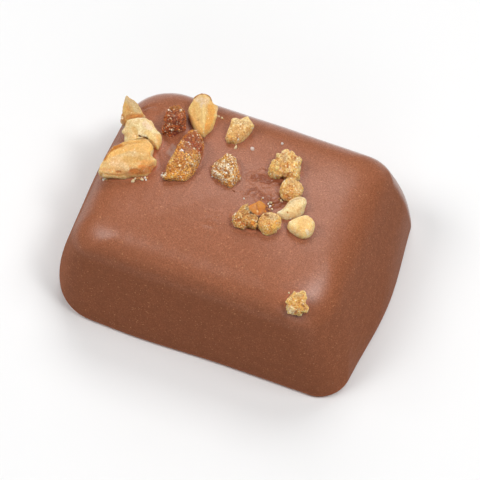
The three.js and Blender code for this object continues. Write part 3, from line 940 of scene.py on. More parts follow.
            (1.57, 0.1), (1.45, -1.0), (1.4, -1.5), (1.1, -1.75), (0.6, -1.6), (0.1, -1.42),
            (-0.2, -1.5), (-0.5, -1.25), (-0.8, -1.47), (-1.5, -1.42), (-1.97, -0.6),
            (-1.6, 0.5), (-1.27, 0.62), (-1.17, 1.25), (-0.9, 1.37), (-0.6, 1.3), (-0.4, 1.6),
        ),
        (
            Stroke(((-0.3, 1.2), (-0.1, 0.6)), 0.5, "#cca670"),
            Stroke(((-1.1, 0.0), (-0.8, -0.4)), 0.45, "#e0b674"),
            Stroke(((1.1, 0.6), (1.35, 0.5)), 0.35, "#e2bf88"),
            Stroke(((0.3, -0.1), (0.2, -0.6)), 0.3, "#eac283"),
            Stroke(((0.1, 0.2), (0.1, -0.2)), 0.12, "#c4751c", lift=-0.1),
            Stroke(((0.6, 0.85), (0.8, 0.8)), 0.2, "#d18d3e", lift=-0.08),
            Stroke(((-1.5, -1.1), (-0.6, -1.2), (0.4, -1.3)), 0.35, "#ffca80"),
            Stroke(((1.0, 0.9), (0.9, 0.6)), 0.13, "#b87834", lift=-0.12),
            Stroke(((-1.2, 0.75), (-0.9, 0.7)), 0.13, "#c08643", lift=-0.12),
        ),
    ),
    "cluster_nut_small": Nut(
        "golden_nut", "golden", "#d8ab68", "#bf8640", ((0.6, 0.05),), (0.34, 0.08, 0.2), 0.03,
        (
            (0, 1.27), (0.45, 1.2), (0.75, 0.92), (1.1, 0.72), (1.37, 0.3), (1.37, -0.2),
            (1.1, -0.62), (0.2, -1.22), (-0.3, -1.27), (-0.72, -1.0), (-1.07, -0.6), (-1.17, 0),
            (-0.85, 0.9),
        ),
        (
            Stroke(((-0.05, 0.25), (0.05, 0.1)), 0.38, "#d3954a", lift=-0.1),
            Stroke(((0.9, 0.3), (0.8, -0.4)), 0.3, "#e0b678"),
            Stroke(((-0.7, -0.6), (0.0, -1.0)), 0.35, "#c08444"),
            Stroke(((-0.2, 0.9), (0.3, 0.9)), 0.25, "#cca26a"),
        ),
    ),
    "amber_caramel_chip": Nut(
        "amber_caramel", "amber", "#cc8238", "#a65c20", ((0.8, 0.05),), (0.3, 0.0, 0.0), 0,
        (
            (-1.02, 0.1), (-1.02, 0.5), (-0.7, 0.82), (0.3, 1.27), (0.8, 1.17), (0.97, 0.8),
            (1.0, 0.4), (1.1, 0.05), (0.4, -0.35), (0.2, -0.65), (-0.4, -0.65), (-0.92, -0.2),
        ),
        (
            Stroke(((-0.4, 0.3), (-0.3, -0.2)), 0.55, "#c88034", lift=0.08),
            Stroke(((0.4, 0.9), (0.7, 0.7)), 0.5, "#c87e2a", lift=0.08),
            Stroke(((0.05, 1.0), (0.1, 0.4), (0.3, 0.0)), 0.14, "#c07a38", lift=-0.07),
            Stroke(((-1.0, 0.5), (-0.85, 0.65)), 0.15, "#e4bc80", lift=0.04),
            Stroke(((0.15, 0.2), (0.2, 0.1)), 0.12, "#f4d2a0"),
            Stroke(((-0.3, -0.6), (0.3, -0.45)), 0.25, "#8c4c20"),
        ),
    ),
    "cluster_nut_round": Nut(
        "golden_nut", "golden", "#dcac64", "#b87c3a", ((0.6, 0.05),), (0.32, 0.08, 0.2), 0.03,
        (
            (-0.5, 1.05), (0.4, 1.17), (1.17, 0.7), (1.32, 0.3), (1.2, -0.5), (0.82, -0.72),
            (0.6, -0.97), (-0.3, -1.22), (-0.87, -0.72), (-1.12, -0.57), (-1.37, -0.1),
            (-1.37, 0.2), (-0.82, 0.9),
        ),
        (
            Stroke(((0.0, 0.8), (0.6, 0.7)), 0.45, "#cea872"),
            Stroke(((0.9, 0.0), (0.5, -0.6), (-0.3, -0.95)), 0.4, "#ffbe60"),
            Stroke(((-0.9, 0.0), (-0.6, 0.5)), 0.35, "#d4a262"),
            Stroke(((-0.2, 0.9), (-0.45, 0.95)), 0.18, "#8a5526", lift=-0.08),
        ),
    ),
    "caramel_cluster": Nut(
        "dark_caramel", "golden", "#cc944e", "#8e5824", ((0.7, 0.1),), (0.3, 0.12, 0.35), 0.04,
        (
            (-0.8, 0.62), (-0.4, 1.12), (0.1, 1.37), (0.6, 1.52), (1.2, 1.3), (1.6, 0.8),
            (1.75, 0.2), (1.6, -0.5), (1.75, -1.3), (1.3, -1.47), (0.9, -1.22), (0.5, -1.1),
            (0.2, -1.0), (-0.2, -1.32), (-0.6, -1.15), (-1.1, -1.1), (-1.32, -0.6),
            (-1.42, -0.2), (-1.37, 0.2), (-1.1, 0.42),
        ),
        (
            Stroke(((-1.0, -0.35), (-0.6, -0.45)), 0.28, "#c07c3a", lift=-0.1),
            Stroke(((-0.3, -0.85), (0.1, -0.8)), 0.25, "#da8a42", lift=-0.12),
            Stroke(((-0.65, 0.35), (-0.4, 0.0)), 0.15, "#d8ac6c", lift=0.06),
            Stroke(((0.0, 1.0), (0.25, 0.9)), 0.18, "#e0ba7c", lift=0.05),
            Stroke(((0.2, 0.0), (0.4, -0.5)), 0.35, "#dca25e"),
            Stroke(((0.8, -0.6), (1.0, -1.0), (1.5, -1.3)), 0.35, "#fa9c44"),
            Stroke(((-0.9, -0.9), (-0.6, -0.7)), 0.2, "#dcaa6a"),
        ),
    ),
    "pale_nut_round": Nut(
        "pale_nut", "flesh", "#f0cd90", "#dcae68", ((0.8, 0.04), (0.25, 0.02)),
        (0.3, 0.01, 0.05), 0,
        (
            (-1.52, 0.0), (-1.1, 0.6), (0, 1.07), (0.8, 1.07), (1.47, 0.3), (1.27, -0.62),
            (0.6, -1.22), (-0.1, -1.17), (-1.2, -0.62),
        ),
        (
            Stroke(((0.0, 0.5), (0.6, 0.3), (0.3, -0.4)), 0.6, "#efc581"),
            # This stroke and the next are painted glints.
            Stroke(((-1.2, 0.3), (-0.8, 0.1), (-0.7, -0.2)), 0.26, "#ecd09a", lift=0.03),
            Stroke(((0.55, -0.5), (0.7, -0.8)), 0.26, "#ffe8c4"),
            Stroke(((1.25, 0.4), (1.3, -0.2), (1.0, -0.7)), 0.2, "#e6c692"),
            Stroke(((-1.2, -0.5), (-0.4, -0.95)), 0.2, "#ffe4b0"),
        ),
    ),
    "pale_nut_long": Nut(
        "pale_nut", "flesh", "#eed5a6", "#d9b684", ((0.8, 0.04), (0.25, 0.02)),
        (0.3, 0.01, 0.05), 0,
        (
            (0.4, 1.17), (0.9, 1.22), (1.3, 1.02), (1.52, 0.6), (1.42, 0.1), (1.15, -0.55),
            (1.1, -0.9), (0.5, -1.0), (0, -1.1), (-0.3, -1.35), (-1.12, -1.22), (-1.42, -0.92),
            (-1.77, -0.6), (-1.1, -0.08), (-0.3, 0.82),
        ),
        (
            Stroke(((0.4, 0.6), (0.7, 0.0), (0.5, -0.5)), 0.5, "#eed19c"),
            Stroke(((-1.4, -0.6), (-0.9, -0.9)), 0.5, "#e3d3ae"),
            Stroke(((-1.1, -0.2), (-0.5, 0.5), (0.2, 0.95), (0.9, 1.1)), 0.2, "#d0b080"),
            Stroke(((-0.65, -0.5), (-0.63, -0.55)), 0.12, "#bd8446"),
            Stroke(((-0.4, -0.1), (0.1, 0.0)), 0.3, "#eacb94"),
            # A painted glint.
            Stroke(((-0.3, -1.22), (-0.28, -1.25)), 0.13, "#fff8ea", lift=0.05),
        ),
    ),
    "cluster_nut_front": Nut(
        "golden_nut", "golden", "#dcac62", "#b98038", ((0.6, 0.06),), (0.4, 0.13, 0.2), 0.03,
        (
            (-0.4, 1.07), (0, 1.02), (0.8, 1.17), (1.07, 0.4), (0.87, 0.05), (0.92, -0.3),
            (1.22, -0.5), (0.9, -1.12), (0.5, -1.1), (0.3, -1.37), (-0.3, -1.2), (-0.5, -1.47),
            (-0.82, -1.37), (-1.17, -0.7), (-1.1, -0.3), (-1.27, 0.02), (-0.72, 0.72),
        ),
        (
            Stroke(((-0.65, -0.7), (-0.6, -1.1)), 0.42, "#e4c090", lift=0.05),
            Stroke(((0.2, 0.1), (0.25, -0.35)), 0.3, "#d79f4b", lift=-0.06),
            Stroke(((0.8, -0.7), (0.9, -0.8)), 0.3, "#bc8a4a"),
            Stroke(((0.55, -0.3), (0.7, -0.45)), 0.16, "#a8702f", lift=-0.1),
            Stroke(((-0.3, -1.0), (-0.25, -1.2)), 0.14, "#f8d0a0", lift=-0.1),
            Stroke(((-0.3, 0.6), (0.4, 0.7)), 0.3, "#caa266"),
        ),
    ),
}

# Points of a solid that lie nearer together than this are merged, in metres.
WELD = 1e-7
DISPLAY_SMOOTHING = 3

# A skin is fitted to its outline in this many directions, within these limits, and most at its rim.
CURVE_STEPS = 6
OUTLINE_BINS = 120
OUTLINE_GROWTH = (0.75, 1.3)
OUTLINE_EASE = 1.5
# How much further it reaches at its foot, which sinks into the coating
SUNK_FOOT = 0.2
# The share of its relief that stays inside the outline
OUTLINE_LEVEL = 0.7

# Strokes fade out over this much of the faces that turn away from the camera.
HIDDEN_SHARE = 0.35
# How sharp the edge of a stroke is, and how much and over what size it wanders
STROKE_EDGE = 1.7
WANDER = 0.5
WANDER_SIZE = 0.5
# The size, strength and limit of the shade colour's broad mottling
MOTTLE_SIZE = 0.9
MOTTLE = 0.7
MOTTLE_LIMIT = 0.5

# Grains: the width of the gaps between them as a share of their size, how deep those are, and how
# much the grains tilt, as shares of their depth
GAP_WIDTH = 0.35
GAP_DEPTH = 0.4
GRAIN_TILT = 0.9
# The depth that coarse strokes give to the grains of a smooth piece
COARSE_DEPTH = 0.015
# How much grains differ at most, how dark their gaps are and how much their tones differ
GRAIN_LIMIT = 0.9
GAP_SHADE = 0.6
TONE_RANGE = 0.8
# White grains: how gradually they start, their colour and how strongly it covers
WHITE_EDGE = 0.04
WHITE_COVER = 0.75
WHITE_GRAIN = "#fff0cf"
# The finest grains, on all pieces but the plain flesh
FINE_GRAIN = 0.17
FINE_GRAIN_DEPTH = 0.03
FINE_GRAIN_SEED = 30

# Paint stays between these levels. Flat faces are painted a little darker, as painted shade, and
# steep ones that face the camera paler in red, green and blue, as painted light for the light that
# comes out of them.
DARKEST = 0.003
BRIGHTEST = 0.93
FLAT_TONE = 0.885
STEEP_PAINTED_LIGHT = np.array((0.66, 0.42, 0.14))


def solid_in_mm(node):
    """A copy of a solid of the frame with its doubles merged, in millimetres."""
    form = bmesh.new()
    form.from_mesh(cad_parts[node].data)
    bmesh.ops.remove_doubles(form, verts=form.verts, dist=WELD)
    form.transform(Matrix.Scale(1 / MM, 4))
    return mesh_of(form, node)


def fine_skin(node, detail):
    """A nut piece's form with an even, fine skin and softer facets, in millimetres."""
    holder = place_object("nut holder", solid_in_mm(node))
    remesh = holder.modifiers.new("Even skin", "REMESH")
    remesh.mode = "VOXEL"
    remesh.voxel_size = detail / MM
    smooth = holder.modifiers.new("Softer facets", "SMOOTH")
    smooth.iterations = DISPLAY_SMOOTHING
    smooth.factor = 0.5
    return plain_mesh(holder)


def closed_curve(points):
    """A smooth closed line through flat points, as a fine polygon."""
    here = np.array(points)
    before, after, beyond = (np.roll(here, step, axis=0) for step in (1, -1, -2))
    share = (np.arange(CURVE_STEPS) / CURVE_STEPS)[:, None, None]
    bend = 2 * before - 5 * here + 4 * after - beyond
    twist = 3 * (here - after) + beyond - before
    line = here + ((after - before) * share + bend * share ** 2 + twist * share ** 3) / 2
    return line.swapaxes(0, 1).reshape(-1, 2)


def outline_reach(corners, angles):
    """How far a closed polygon reaches from its origin at each angle."""
    following = np.roll(corners, -1, axis=0)
    edges = following - corners
    rays = np.column_stack((np.cos(angles), np.sin(angles)))
    across = rays[:, :1] * edges[:, 1] - rays[:, 1:] * edges[:, 0]
    across = np.where(np.abs(across) < TINY, TINY, across)
    along_edge = (rays[:, 1:] * corners[:, 0] - rays[:, :1] * corners[:, 1]) / across
    along_ray = (corners[:, 0] * edges[:, 1] - corners[:, 1] * edges[:, 0]) / across
    meets = (along_edge >= 0) & (along_edge <= 1) & (along_ray > 0)
    return np.where(meets, along_ray, 0).max(1)


def fit_outline(seen, outline):
    """Moves points sideways so that what the camera sees of a nut piece fills its outline."""
    line = closed_curve(outline)
    middle = line.mean(0)
    flat = seen[:, :2] - middle
    reach = np.linalg.norm(flat, axis=1)
    angles = np.arctan2(flat[:, 1], flat[:, 0])
    bins = ((angles + math.pi) / math.tau * OUTLINE_BINS).astype(int) % OUTLINE_BINS
    widest = np.zeros(OUTLINE_BINS)
    np.maximum.at(widest, bins, reach)
    widest = np.maximum(widest, (np.roll(widest, 1) + np.roll(widest, -1)) / 2)
    middles = (np.arange(OUTLINE_BINS) + 0.5) / OUTLINE_BINS * math.tau - math.pi
    wanted = outline_reach(line - middle, middles) - SUNK_FOOT * np.minimum(np.sin(middles), 0)
    growth = np.clip(wanted / widest, *OUTLINE_GROWTH)
    around = np.interp(angles, middles, growth, period=math.tau)
    rim = np.interp(angles, middles, widest, period=math.tau)
    share = np.clip(reach / rim, 0, 1) ** OUTLINE_EASE
    moved = flat * (1 + (around - 1) * share)[:, None] + middle
    return np.column_stack((moved, seen[:, 2]))


def packed_grains(points, size, seed):
    """Angular grains side by side: each point's height, how deep in a gap it is, and its grain's
    own number from 0 to 1."""
    offset = Vector((seed * 7.3, seed * 3.1, seed * 5.7))
    heights, gaps, numbers = [], [], []
    for point in points:
        place = Vector(point) / size + offset
        distances, middles = noise.voronoi(place)
        own = noise.cell_vector(middles[0] * 31)
        tilt = (own - Vector((0.5, 0.5, 0.5))).dot(place - middles[0])
        gap = max(0, 1 - (distances[1] - distances[0]) / GAP_WIDTH)
        rise = 1 - min(distances[0], 1) ** 2
        heights.append(rise + GRAIN_TILT * tilt - GAP_DEPTH * gap)
        gaps.append(gap)
        numbers.append(own.x)
    return np.array(heights), np.array(gaps), np.array(numbers)


def blend(colours, share, colour):
    return colours + (np.array(colour[:3]) - colours) * share[:, None]


def lay_strokes(nut, seen, facing, wander, colours, lift):
    """Lays a nut piece's strokes over its colours and relief, and adds up how coarse they make the
    grains and how much sugar they bring."""
    coarse, frost = np.ones(len(seen)), np.zeros(len(seen))
    for stroke in nut.strokes:
        away = path_distance(stroke.path, seen[:, :2])
        share = smooth_step(STROKE_EDGE * (1 - away / stroke.reach) + wander)
        if stroke.colour:
            colours = blend(colours, share * stroke.cover * facing, linear(stroke.colour))
        if stroke.grain:
            coarse += (stroke.grain - 1) * share
        lift = lift + stroke.lift * share * facing
        frost += stroke.frost * share
    return colours, lift, coarse, frost


def lay_grains(nut, points, seed, coarse, colours, lift):
    """Lays a nut piece's grains over its colours and relief."""
    size, depth, contrast = nut.grains
    heights, gaps, numbers = packed_grains(points, size, seed)
    lift = lift + np.maximum(depth * coarse, COARSE_DEPTH * (coarse - 1)) * (heights - 0.5)
    strength = np.clip(contrast * np.maximum(coarse, 1), 0, GRAIN_LIMIT)
    colours = blend(colours, gaps * strength * GAP_SHADE, linear(nut.shade))
    colours *= (1 + (numbers - 0.5) * strength * TONE_RANGE)[:, None]
    white = smooth_step((nut.white - numbers) / WHITE_EDGE) * (1 - gaps)
    return blend(colours, white * WHITE_COVER, linear(WHITE_GRAIN)), lift


def store_paint(mesh, colours):
    """Keeps one colour for each point, for the material to read."""
    brightest = colours.max(1, keepdims=True)
    colours = np.maximum(colours / np.maximum(brightest / BRIGHTEST, 1), DARKEST)
    layer = mesh.attributes.new("paint", "FLOAT_COLOR", "POINT")
    layer.data.foreach_set("color", np.column_stack((colours, np.ones(len(colours)))).ravel())


def nut_skin(node, nut, detail, seed, axes):
    """A nut piece's finished mesh in metres, with its paint and sugar stored."""
    mesh = fine_skin(node, detail)
    middle = box_middle(node)
    seen = fit_outline((positions(mesh) - middle) @ axes.T, nut.outline)
    set_positions(mesh, seen @ axes + middle)
    points, outward = positions(mesh), normals(mesh)
    facing = smooth_step((outward @ axes[2] + HIDDEN_SHARE) / HIDDEN_SHARE)
    wander = noise_of(points, WANDER_SIZE, seed) * WANDER
    mottle = np.clip(noise_of(points, MOTTLE_SIZE, seed + 1) * MOTTLE, 0, MOTTLE_LIMIT)
    colours = np.tile(linear(nut.colour), (len(points), 1))
    colours = blend(colours, mottle, linear(nut.shade))
    lift = sum(depth * noise_of(points, size, seed) for size, depth in nut.bumps)
    colours, lift, coarse, frost = lay_strokes(nut, seen, facing, wander, colours, lift)
    colours, lift = lay_grains(nut, points, seed, coarse, colours, lift)
    if nut.finish != "flesh":
        finest = packed_grains(points, FINE_GRAIN, seed + FINE_GRAIN_SEED)[0]
        lift = lift + FINE_GRAIN_DEPTH * finest
    lift -= np.quantile(lift, OUTLINE_LEVEL)
    set_positions(mesh, (points + outward * lift[:, None]) * MM)
    # Painted light on the steep faces that face the camera.
    steep = 1 - np.clip(outward @ UP, 0, 1)
    store_paint(mesh, colours * (FLAT_TONE + (steep * facing)[:, None] * STEEP_PAINTED_LIGHT))
    store(mesh, "frost", np.clip(frost, 0, 1) * facing)
    return mesh


# How each finish of a nut piece looks: size of its fine grains in millimetres, how much their tones
# differ, the share of them painted pale as glints, depth of its fine bumps in millimetres,
# roughness, coat, and how far light spreads in it.
Skin = namedtuple("Skin", "grain contrast glints bump roughness coat spread")
SKINS = {
    "flesh": Skin(0.13, 0.15, 0.06, 0.025, 0.45, 0.15, 1.0),
    "golden": Skin(0.14, 0.35, 0.2, 0.05, 0.4, 0.25, 1.0),
    "crust": Skin(0.14, 0.65, 0.2, 0.07, 0.35, 0.6, 0.6),
    "caramel": Skin(0.14, 0.8, 0.16, 0.08, 0.4, 0.25, 0.1),
    "amber": Skin(0.16, 0.14, 0.03, 0.02, 0.35, 0.25, 0.5),
}
# Painted glints: their colour, and how much larger than a grain each one's cell is
GLINT = "#fbe6bc"
GLINT_CELL = 1.5
# Sizes in millimetres of the fine and the broad noise in a skin
FINE_NOISE = 0.12
BROAD_NOISE = 0.6

# Light that spreads in nut flesh brightens its steep faces: how far their shading leans upwards.
SOFT_SHADE = 2.5

# Darker grains are also warmer: the power of the grains' tone in each channel.
WARM_POWERS = {"Red": 0.6, "Green": 1.1, "Blue": 1.7}


def nut_finish(kind):
    """The material of one kind of nut skin, made once. Its colours are painted on the mesh."""
    known = bpy.data.materials.get(f"nut {kind}")
    if known:
        return known
    skin = SKINS[kind]
    finish = Finish(f"nut {kind}")
    paint = finish.add("ShaderNodeAttribute", {"attribute_name": "paint"}, output="Color")
    tone, away = finish.grains(skin.grain)
    fine, mottle = finish.clouds(FINE_NOISE), finish.clouds(BROAD_NOISE)
    level = 1 + (tone - 0.5) * (2 * skin.contrast) + (fine - 0.5) * 0.3 + (mottle - 0.5) * 0.12
    warmth = finish.add("ShaderNodeCombineColor", {}, {
        channel: finish.math("POWER", level, power) for channel, power in WARM_POWERS.items()
    })
    base = finish.mix(1.0, paint, warmth, blend="MULTIPLY")
    # Painted highlights: pale glints painted into the colour, weaker on dark paint.
    number, middle = finish.grains(GLINT_CELL * skin.grain)
    glints = finish.ramp(number, 1 - skin.glints, 1.04 - skin.glints)
    glints = glints * (1 - finish.ramp(middle, 0.3, 0.55))
    strength = 0.35 + finish.ramp(finish.red(paint), 0.35, 0.75) * 0.4
    base = finish.mix(glints * strength, base, opaque(linear(GLINT)))
    normal = finish.bump(fine - away * 0.8, skin.bump)
    softened = finish.vector("NORMALIZE", finish.vector("ADD", normal, (0, 0, SOFT_SHADE)))
    return finish.close(
        Base_Color=base, Roughness=skin.roughness + (mottle - 0.5) * 0.2, Normal=softened,
        IOR=1.45, Specular_IOR_Level=0.25, Coat_Weight=skin.coat, Coat_Roughness=0.2,
        Subsurface_Weight=skin.spread, Subsurface_Radius=(0.7, 0.85, 1.0),
        Subsurface_Scale=1.5 * MM,
    )


def make_nuts(context, finishes):
    """Makes the nut pieces that have one of the finishes."""
    axes = seen_axes(context.scene.bonbon_stage)
    detail = context.scene.bonbon_nuts.detail
    for seed, (node, nut) in enumerate(NUTS.items()):
        if nut.finish not in finishes:
            continue
        mesh = nut_skin(node, nut, detail, seed, axes)
        add_piece(f"{node}_skin", mesh, [nut_finish(nut.finish)], [node])


class BONBON_OT_broken_nuts(bpy.types.Operator):
    """Makes the broken pieces of plain hazelnut"""

    bl_idname = "bonbon.broken_nuts"
    bl_label = "Broken nuts"

    def execute(self, context):
        make_nuts(context, ("flesh",))
        return {"FINISHED"}


class BONBON_OT_sugared_nuts(bpy.types.Operator):
    """Makes the pieces with a sugar crust and the golden clusters"""

    bl_idname = "bonbon.sugared_nuts"
    bl_label = "Sugared nuts"

    def execute(self, context):
        make_nuts(context, ("crust", "golden"))
        return {"FINISHED"}


class BONBON_OT_caramel_nuts(bpy.types.Operator):
    """Makes the dark caramel lump and the amber chip"""

    bl_idname = "bonbon.caramel_nuts"
    bl_label = "Caramel nuts"

    def execute(self, context):
        make_nuts(context, ("caramel", "amber"))
        return {"FINISHED"}


# Sugar and crumbs

CRYSTAL_SEED = 11
# Most crystals to a square metre, before the spacing thins them out
CRYSTAL_DENSITY = 6e7
# Each crystal is stretched by its own amounts between these, along its X, Y and Z.
CRYSTAL_STRETCH = ((0.4, 0.5, 0.6), (1.3, 1.2, 1.7))
HONEY = "#e8b468"

# Loose crumbs on the coating, by the nut piece that they lie beside: the place as the camera of
# the stage sees it, right and up from the middle of that piece, and the width, in millimetres,
# the kind, and how much longer than wide it is.
Crumb = namedtuple("Crumb", "place width kind stretch", defaults=(1.2,))
CRUMBS = {
    "hazelnut_wedge": (
        Crumb((-3.35, -2.1), 0.26, "toast"), Crumb((-3.05, -2.25), 0.28, "white"),
        Crumb((-2.85, -2.1), 0.34, "cream"), Crumb((-2.6, -2.25), 0.22, "toast"),
        Crumb((0.33, -2.42), 0.36, "cream", 1.7), Crumb((0.55, -2.15), 0.26, "cream"),
        Crumb((0.8, -2.2), 0.22, "toast"), Crumb((1.0, -2.1), 0.3, "toast"),
        Crumb((1.3, -2.2), 0.34, "cream"), Crumb((1.65, -2.05), 0.28, "white"),
        Crumb((1.9, -2.05), 0.28, "toast"), Crumb((1.75, -2.3), 0.22, "white"),
    ),
    "hazelnut_teardrop": (
        Crumb((1.8, -0.15), 0.22, "cream"), Crumb((2.1, -0.35), 0.28, "cream"),
        Crumb((2.3, -0.5), 0.18, "toast"),
    ),
    "golden_nut_corner": (
        Crumb((-0.45, -1.95), 0.34, "cream", 1.4), Crumb((-0.4, -1.65), 0.2, "cream"),
        Crumb((1.4, -2.05), 0.4, "grey"),
    ),
    "cluster_nut_large": (
        Crumb((1.35, -1.35), 0.24, "white"), Crumb((-0.4, 2.45), 0.3, "grey"),
    ),
    "amber_caramel_chip": (
        Crumb((-1.3, 1.6), 0.22, "white"), Crumb((0.75, 1.65), 0.2, "white"),
        Crumb((0.6, 1.45), 0.2, "toast"), Crumb((1.35, 0.95), 0.26, "white"),
        Crumb((1.5, 0.65), 0.26, "white"), Crumb((1.6, 1.15), 0.24, "cream"),
        Crumb((1.2, 0.7), 0.26, "toast"), Crumb((1.45, 0.35), 0.26, "toast"),
        Crumb((1.75, 0.4), 0.2, "cream"),
    ),
    "pale_nut_long": (
        Crumb((-1.3, 0.8), 0.22, "cream"), Crumb((-1.15, 0.65), 0.18, "cream"),
        Crumb((-1.5, 0.95), 0.2, "toast"), Crumb((-2.45, 0.15), 0.28, "white"),
        Crumb((-2.4, 0.5), 0.24, "cream"), Crumb((-2.2, 0.3), 0.2, "toast"),
        Crumb((-1.6, -0.8), 0.2, "white"),
    ),
    "sugared_nut_long": (
        Crumb((-2.65, -2.1), 0.28, "white"), Crumb((-2.6, -1.85), 0.2, "white"),
        Crumb((-2.4, -2.55), 0.2, "cream"),
    ),
    "frosted_nut": (
        Crumb((-1.55, -0.75), 0.2, "white"), Crumb((-1.65, 0.4), 0.18, "toast"),
    ),
    "caramel_cluster": (Crumb((-1.5, -0.6), 0.2, "toast"),),
    "cluster_nut_front": (Crumb((-0.9, 0.9), 0.2, "cream"),),
}


def random_vector(plan, least, most, seed):
    """A vector whose parts are drawn between two limits."""
    return plan.add(
        "FunctionNodeRandomValue", {"data_type": "FLOAT_VECTOR"},
        {"Min": least, "Max": most, "Seed": seed},
    )


def scattered_crystals(plan, surface, spacing, width, seed):
    """Small crystals of many shapes wherever the surface has frost."""
    frost = plan.add(
        "GeometryNodeInputNamedAttribute", {"data_type": "FLOAT"}, {"Name": "frost"}
    )
    places = plan.add(
        "GeometryNodeDistributePointsOnFaces", {"distribute_method": "POISSON"},
        {"Mesh": surface, "Distance Min": spacing, "Density Max": CRYSTAL_DENSITY,
         "Density Factor": frost, "Seed": seed},
    )
    crystal = plan.add(
        "GeometryNodeMeshIcoSphere", {}, {"Radius": width * 0.5, "Subdivisions": 1}
    )
    turn = random_vector(plan, (0, 0, 0), (math.tau, math.tau, math.tau), seed)
    stretch = random_vector(plan, *CRYSTAL_STRETCH, seed)
    return plan.add(
        "GeometryNodeInstanceOnPoints", {},
        {"Points": places, "Instance": crystal, "Rotation": turn, "Scale": stretch},
    )


def crystal_tree(material):
    """The node group that makes sugar crystals on a surface, each with its own tint."""
    tree = bpy.data.node_groups.new("Sugar crystals", "GeometryNodeTree")
    inputs = (
        ("Geometry", "NodeSocketGeometry"), ("Spacing", "NodeSocketFloat"),
        ("Width", "NodeSocketFloat"), ("Seed", "NodeSocketInt"),
    )
    for name, kind in inputs:
        tree.interface.new_socket(name, in_out="INPUT", socket_type=kind)
    tree.interface.new_socket("Geometry", in_out="OUTPUT", socket_type="NodeSocketGeometry")
    plan = Plan(tree)
    start = plan.add("NodeGroupInput").socket.node
    surface, spacing, width, seed = (Wire(plan, start.outputs[name]) for name, _ in inputs)
    crystals = scattered_crystals(plan, surface, spacing, width, seed)
    tint = plan.add("FunctionNodeRandomValue", {"data_type": "FLOAT"}, {"Seed": seed}, output=1)
    tinted = plan.add(
        "GeometryNodeStoreNamedAttribute", {"data_type": "FLOAT", "domain": "INSTANCE"},
        {"Geometry": crystals, "Name": "tint", "Value": tint},
    )
    real = plan.add("GeometryNodeRealizeInstances", {}, {"Geometry": tinted})
    painted = plan.add("GeometryNodeSetMaterial", {}, {"Geometry": real, "Material": material})
    plan.add("NodeGroupOutput", {}, {"Geometry": painted})
    return tree


def set_modifier_inputs(modifier, values):
    """Sets a Geometry Nodes modifier's inputs, which go by their identifiers."""
    for item in modifier.node_group.interface.items_tree:
        if item.item_type == "SOCKET" and item.in_out == "INPUT" and item.name in values:
            modifier[item.identifier] = values[item.name]


def sugar_finish(sugar):
    """Sugar crystals from white to honey."""
    finish = Finish("sugar crystals")
    tint = finish.attribute("tint")
    base = finish.mix(
        finish.ramp(tint, 0.4, 0.9), opaque(sugar.white), opaque(linear(HONEY))
    )
    roughness = 0.2 + tint * 0.2
    return finish.close(
        Base_Color=base, Roughness=roughness, IOR=1.54,
        Subsurface_Weight=0.6, Subsurface_Radius=(1.0, 0.8, 0.5), Subsurface_Scale=0.4 * MM,
    )


def joined_skins():
    """All nut skins as one mesh, with their frost."""
    joined = bmesh.new()
    for node in NUTS:
        joined.from_mesh(bpy.data.objects[f"{node}_skin"].data)
    return mesh_of(joined, "all nut skins")


class BONBON_OT_sugar(bpy.types.Operator):
    """Scatters white sugar crystals over the frosted zones of the nut pieces"""

    bl_idname = "bonbon.sugar"
    bl_label = "Sugar"

    def execute(self, context):
        sugar = context.scene.bonbon_sugar
        material = sugar_finish(sugar)
        holder = place_object("sugar holder", joined_skins())
        scatter = holder.modifiers.new("Sugar", "NODES")
        scatter.node_group = crystal_tree(material)
        set_modifier_inputs(scatter, {
            "Spacing": sugar.spacing, "Width": sugar.crystal, "Seed": CRYSTAL_SEED,
        })
        piece = add_piece("sugar_crystals", plain_mesh(holder), [material])
        piece.data.shade_flat()
        return {"FINISHED"}


# Crumbs: the size of their lumps, how much those stand out, how far a crumb rises from the coating
# as a share of its width, and the turn in radians from each crumb to the next, about X, Y and Z
CRUMB_LUMP = 0.2 * MM
CRUMB_LUMPINESS = 0.6
CRUMB_RISE = 0.15
CRUMB_TURN = (1.3, 2.1, 0.7)
# Their places are found on lines of sight from this far above.
SIGHT_START = 20 * MM


def crumb_mesh(crumbs, coating, axes):
    """Irregular crumbs lying on the coating, each given with the nut piece beside it."""
    joined = bmesh.new()
    back = Vector(axes[2])
    for at, (node, crumb) in enumerate(crumbs):
        seen = (np.array(crumb.place) @ axes[:2] + box_middle(node)) * MM
        landing = coating.ray_cast(Vector(seen) + back * SIGHT_START, -back)[0]
        made = bmesh.ops.create_icosphere(joined, subdivisions=2, radius=crumb.width * MM / 2)
        turn = Euler([at * angle for angle in CRUMB_TURN]).to_matrix()
        own_lumps = Vector((at, 0, 0)) * 5
        for vertex in made["verts"]:
            lump = noise.noise(vertex.co / CRUMB_LUMP + own_lumps)
            push = 1 + CRUMB_LUMPINESS * lump
            vertex.co.x *= crumb.stretch
            vertex.co = turn @ (vertex.co * push) + landing + UP * crumb.width * MM * CRUMB_RISE
    return mesh_of(joined, "crumbs")


def crumb_finish(name, hex_colour, roughness):
    """A crumb's colour, a little mottled."""
    finish = Finish(name)
    mottle = finish.clouds(0.15)
    colour = linear(hex_colour)
    base = finish.mix(mottle, opaque(colour), opaque([c * 0.85 for c in colour]))
    return finish.close(
        Base_Color=base, Roughness=roughness, Normal=finish.bump(mottle, 0.02),
        Subsurface_Weight=0.9, Subsurface_Radius=(0.8, 0.9, 1.0), Subsurface_Scale=0.5 * MM,
    )


# Kinds of crumbs: colour, roughness and slot
CRUMB_KINDS = {
    "cream": ("#f6dfb0", 0.5, "pale_nut"),
    "white": ("#fff6e6", 0.3, "frosted_nut"),
    "toast": ("#c48a4e", 0.5, "roasted_nut"),
    "grey": ("#dccbc2", 0.5, "frosted_nut"),
}


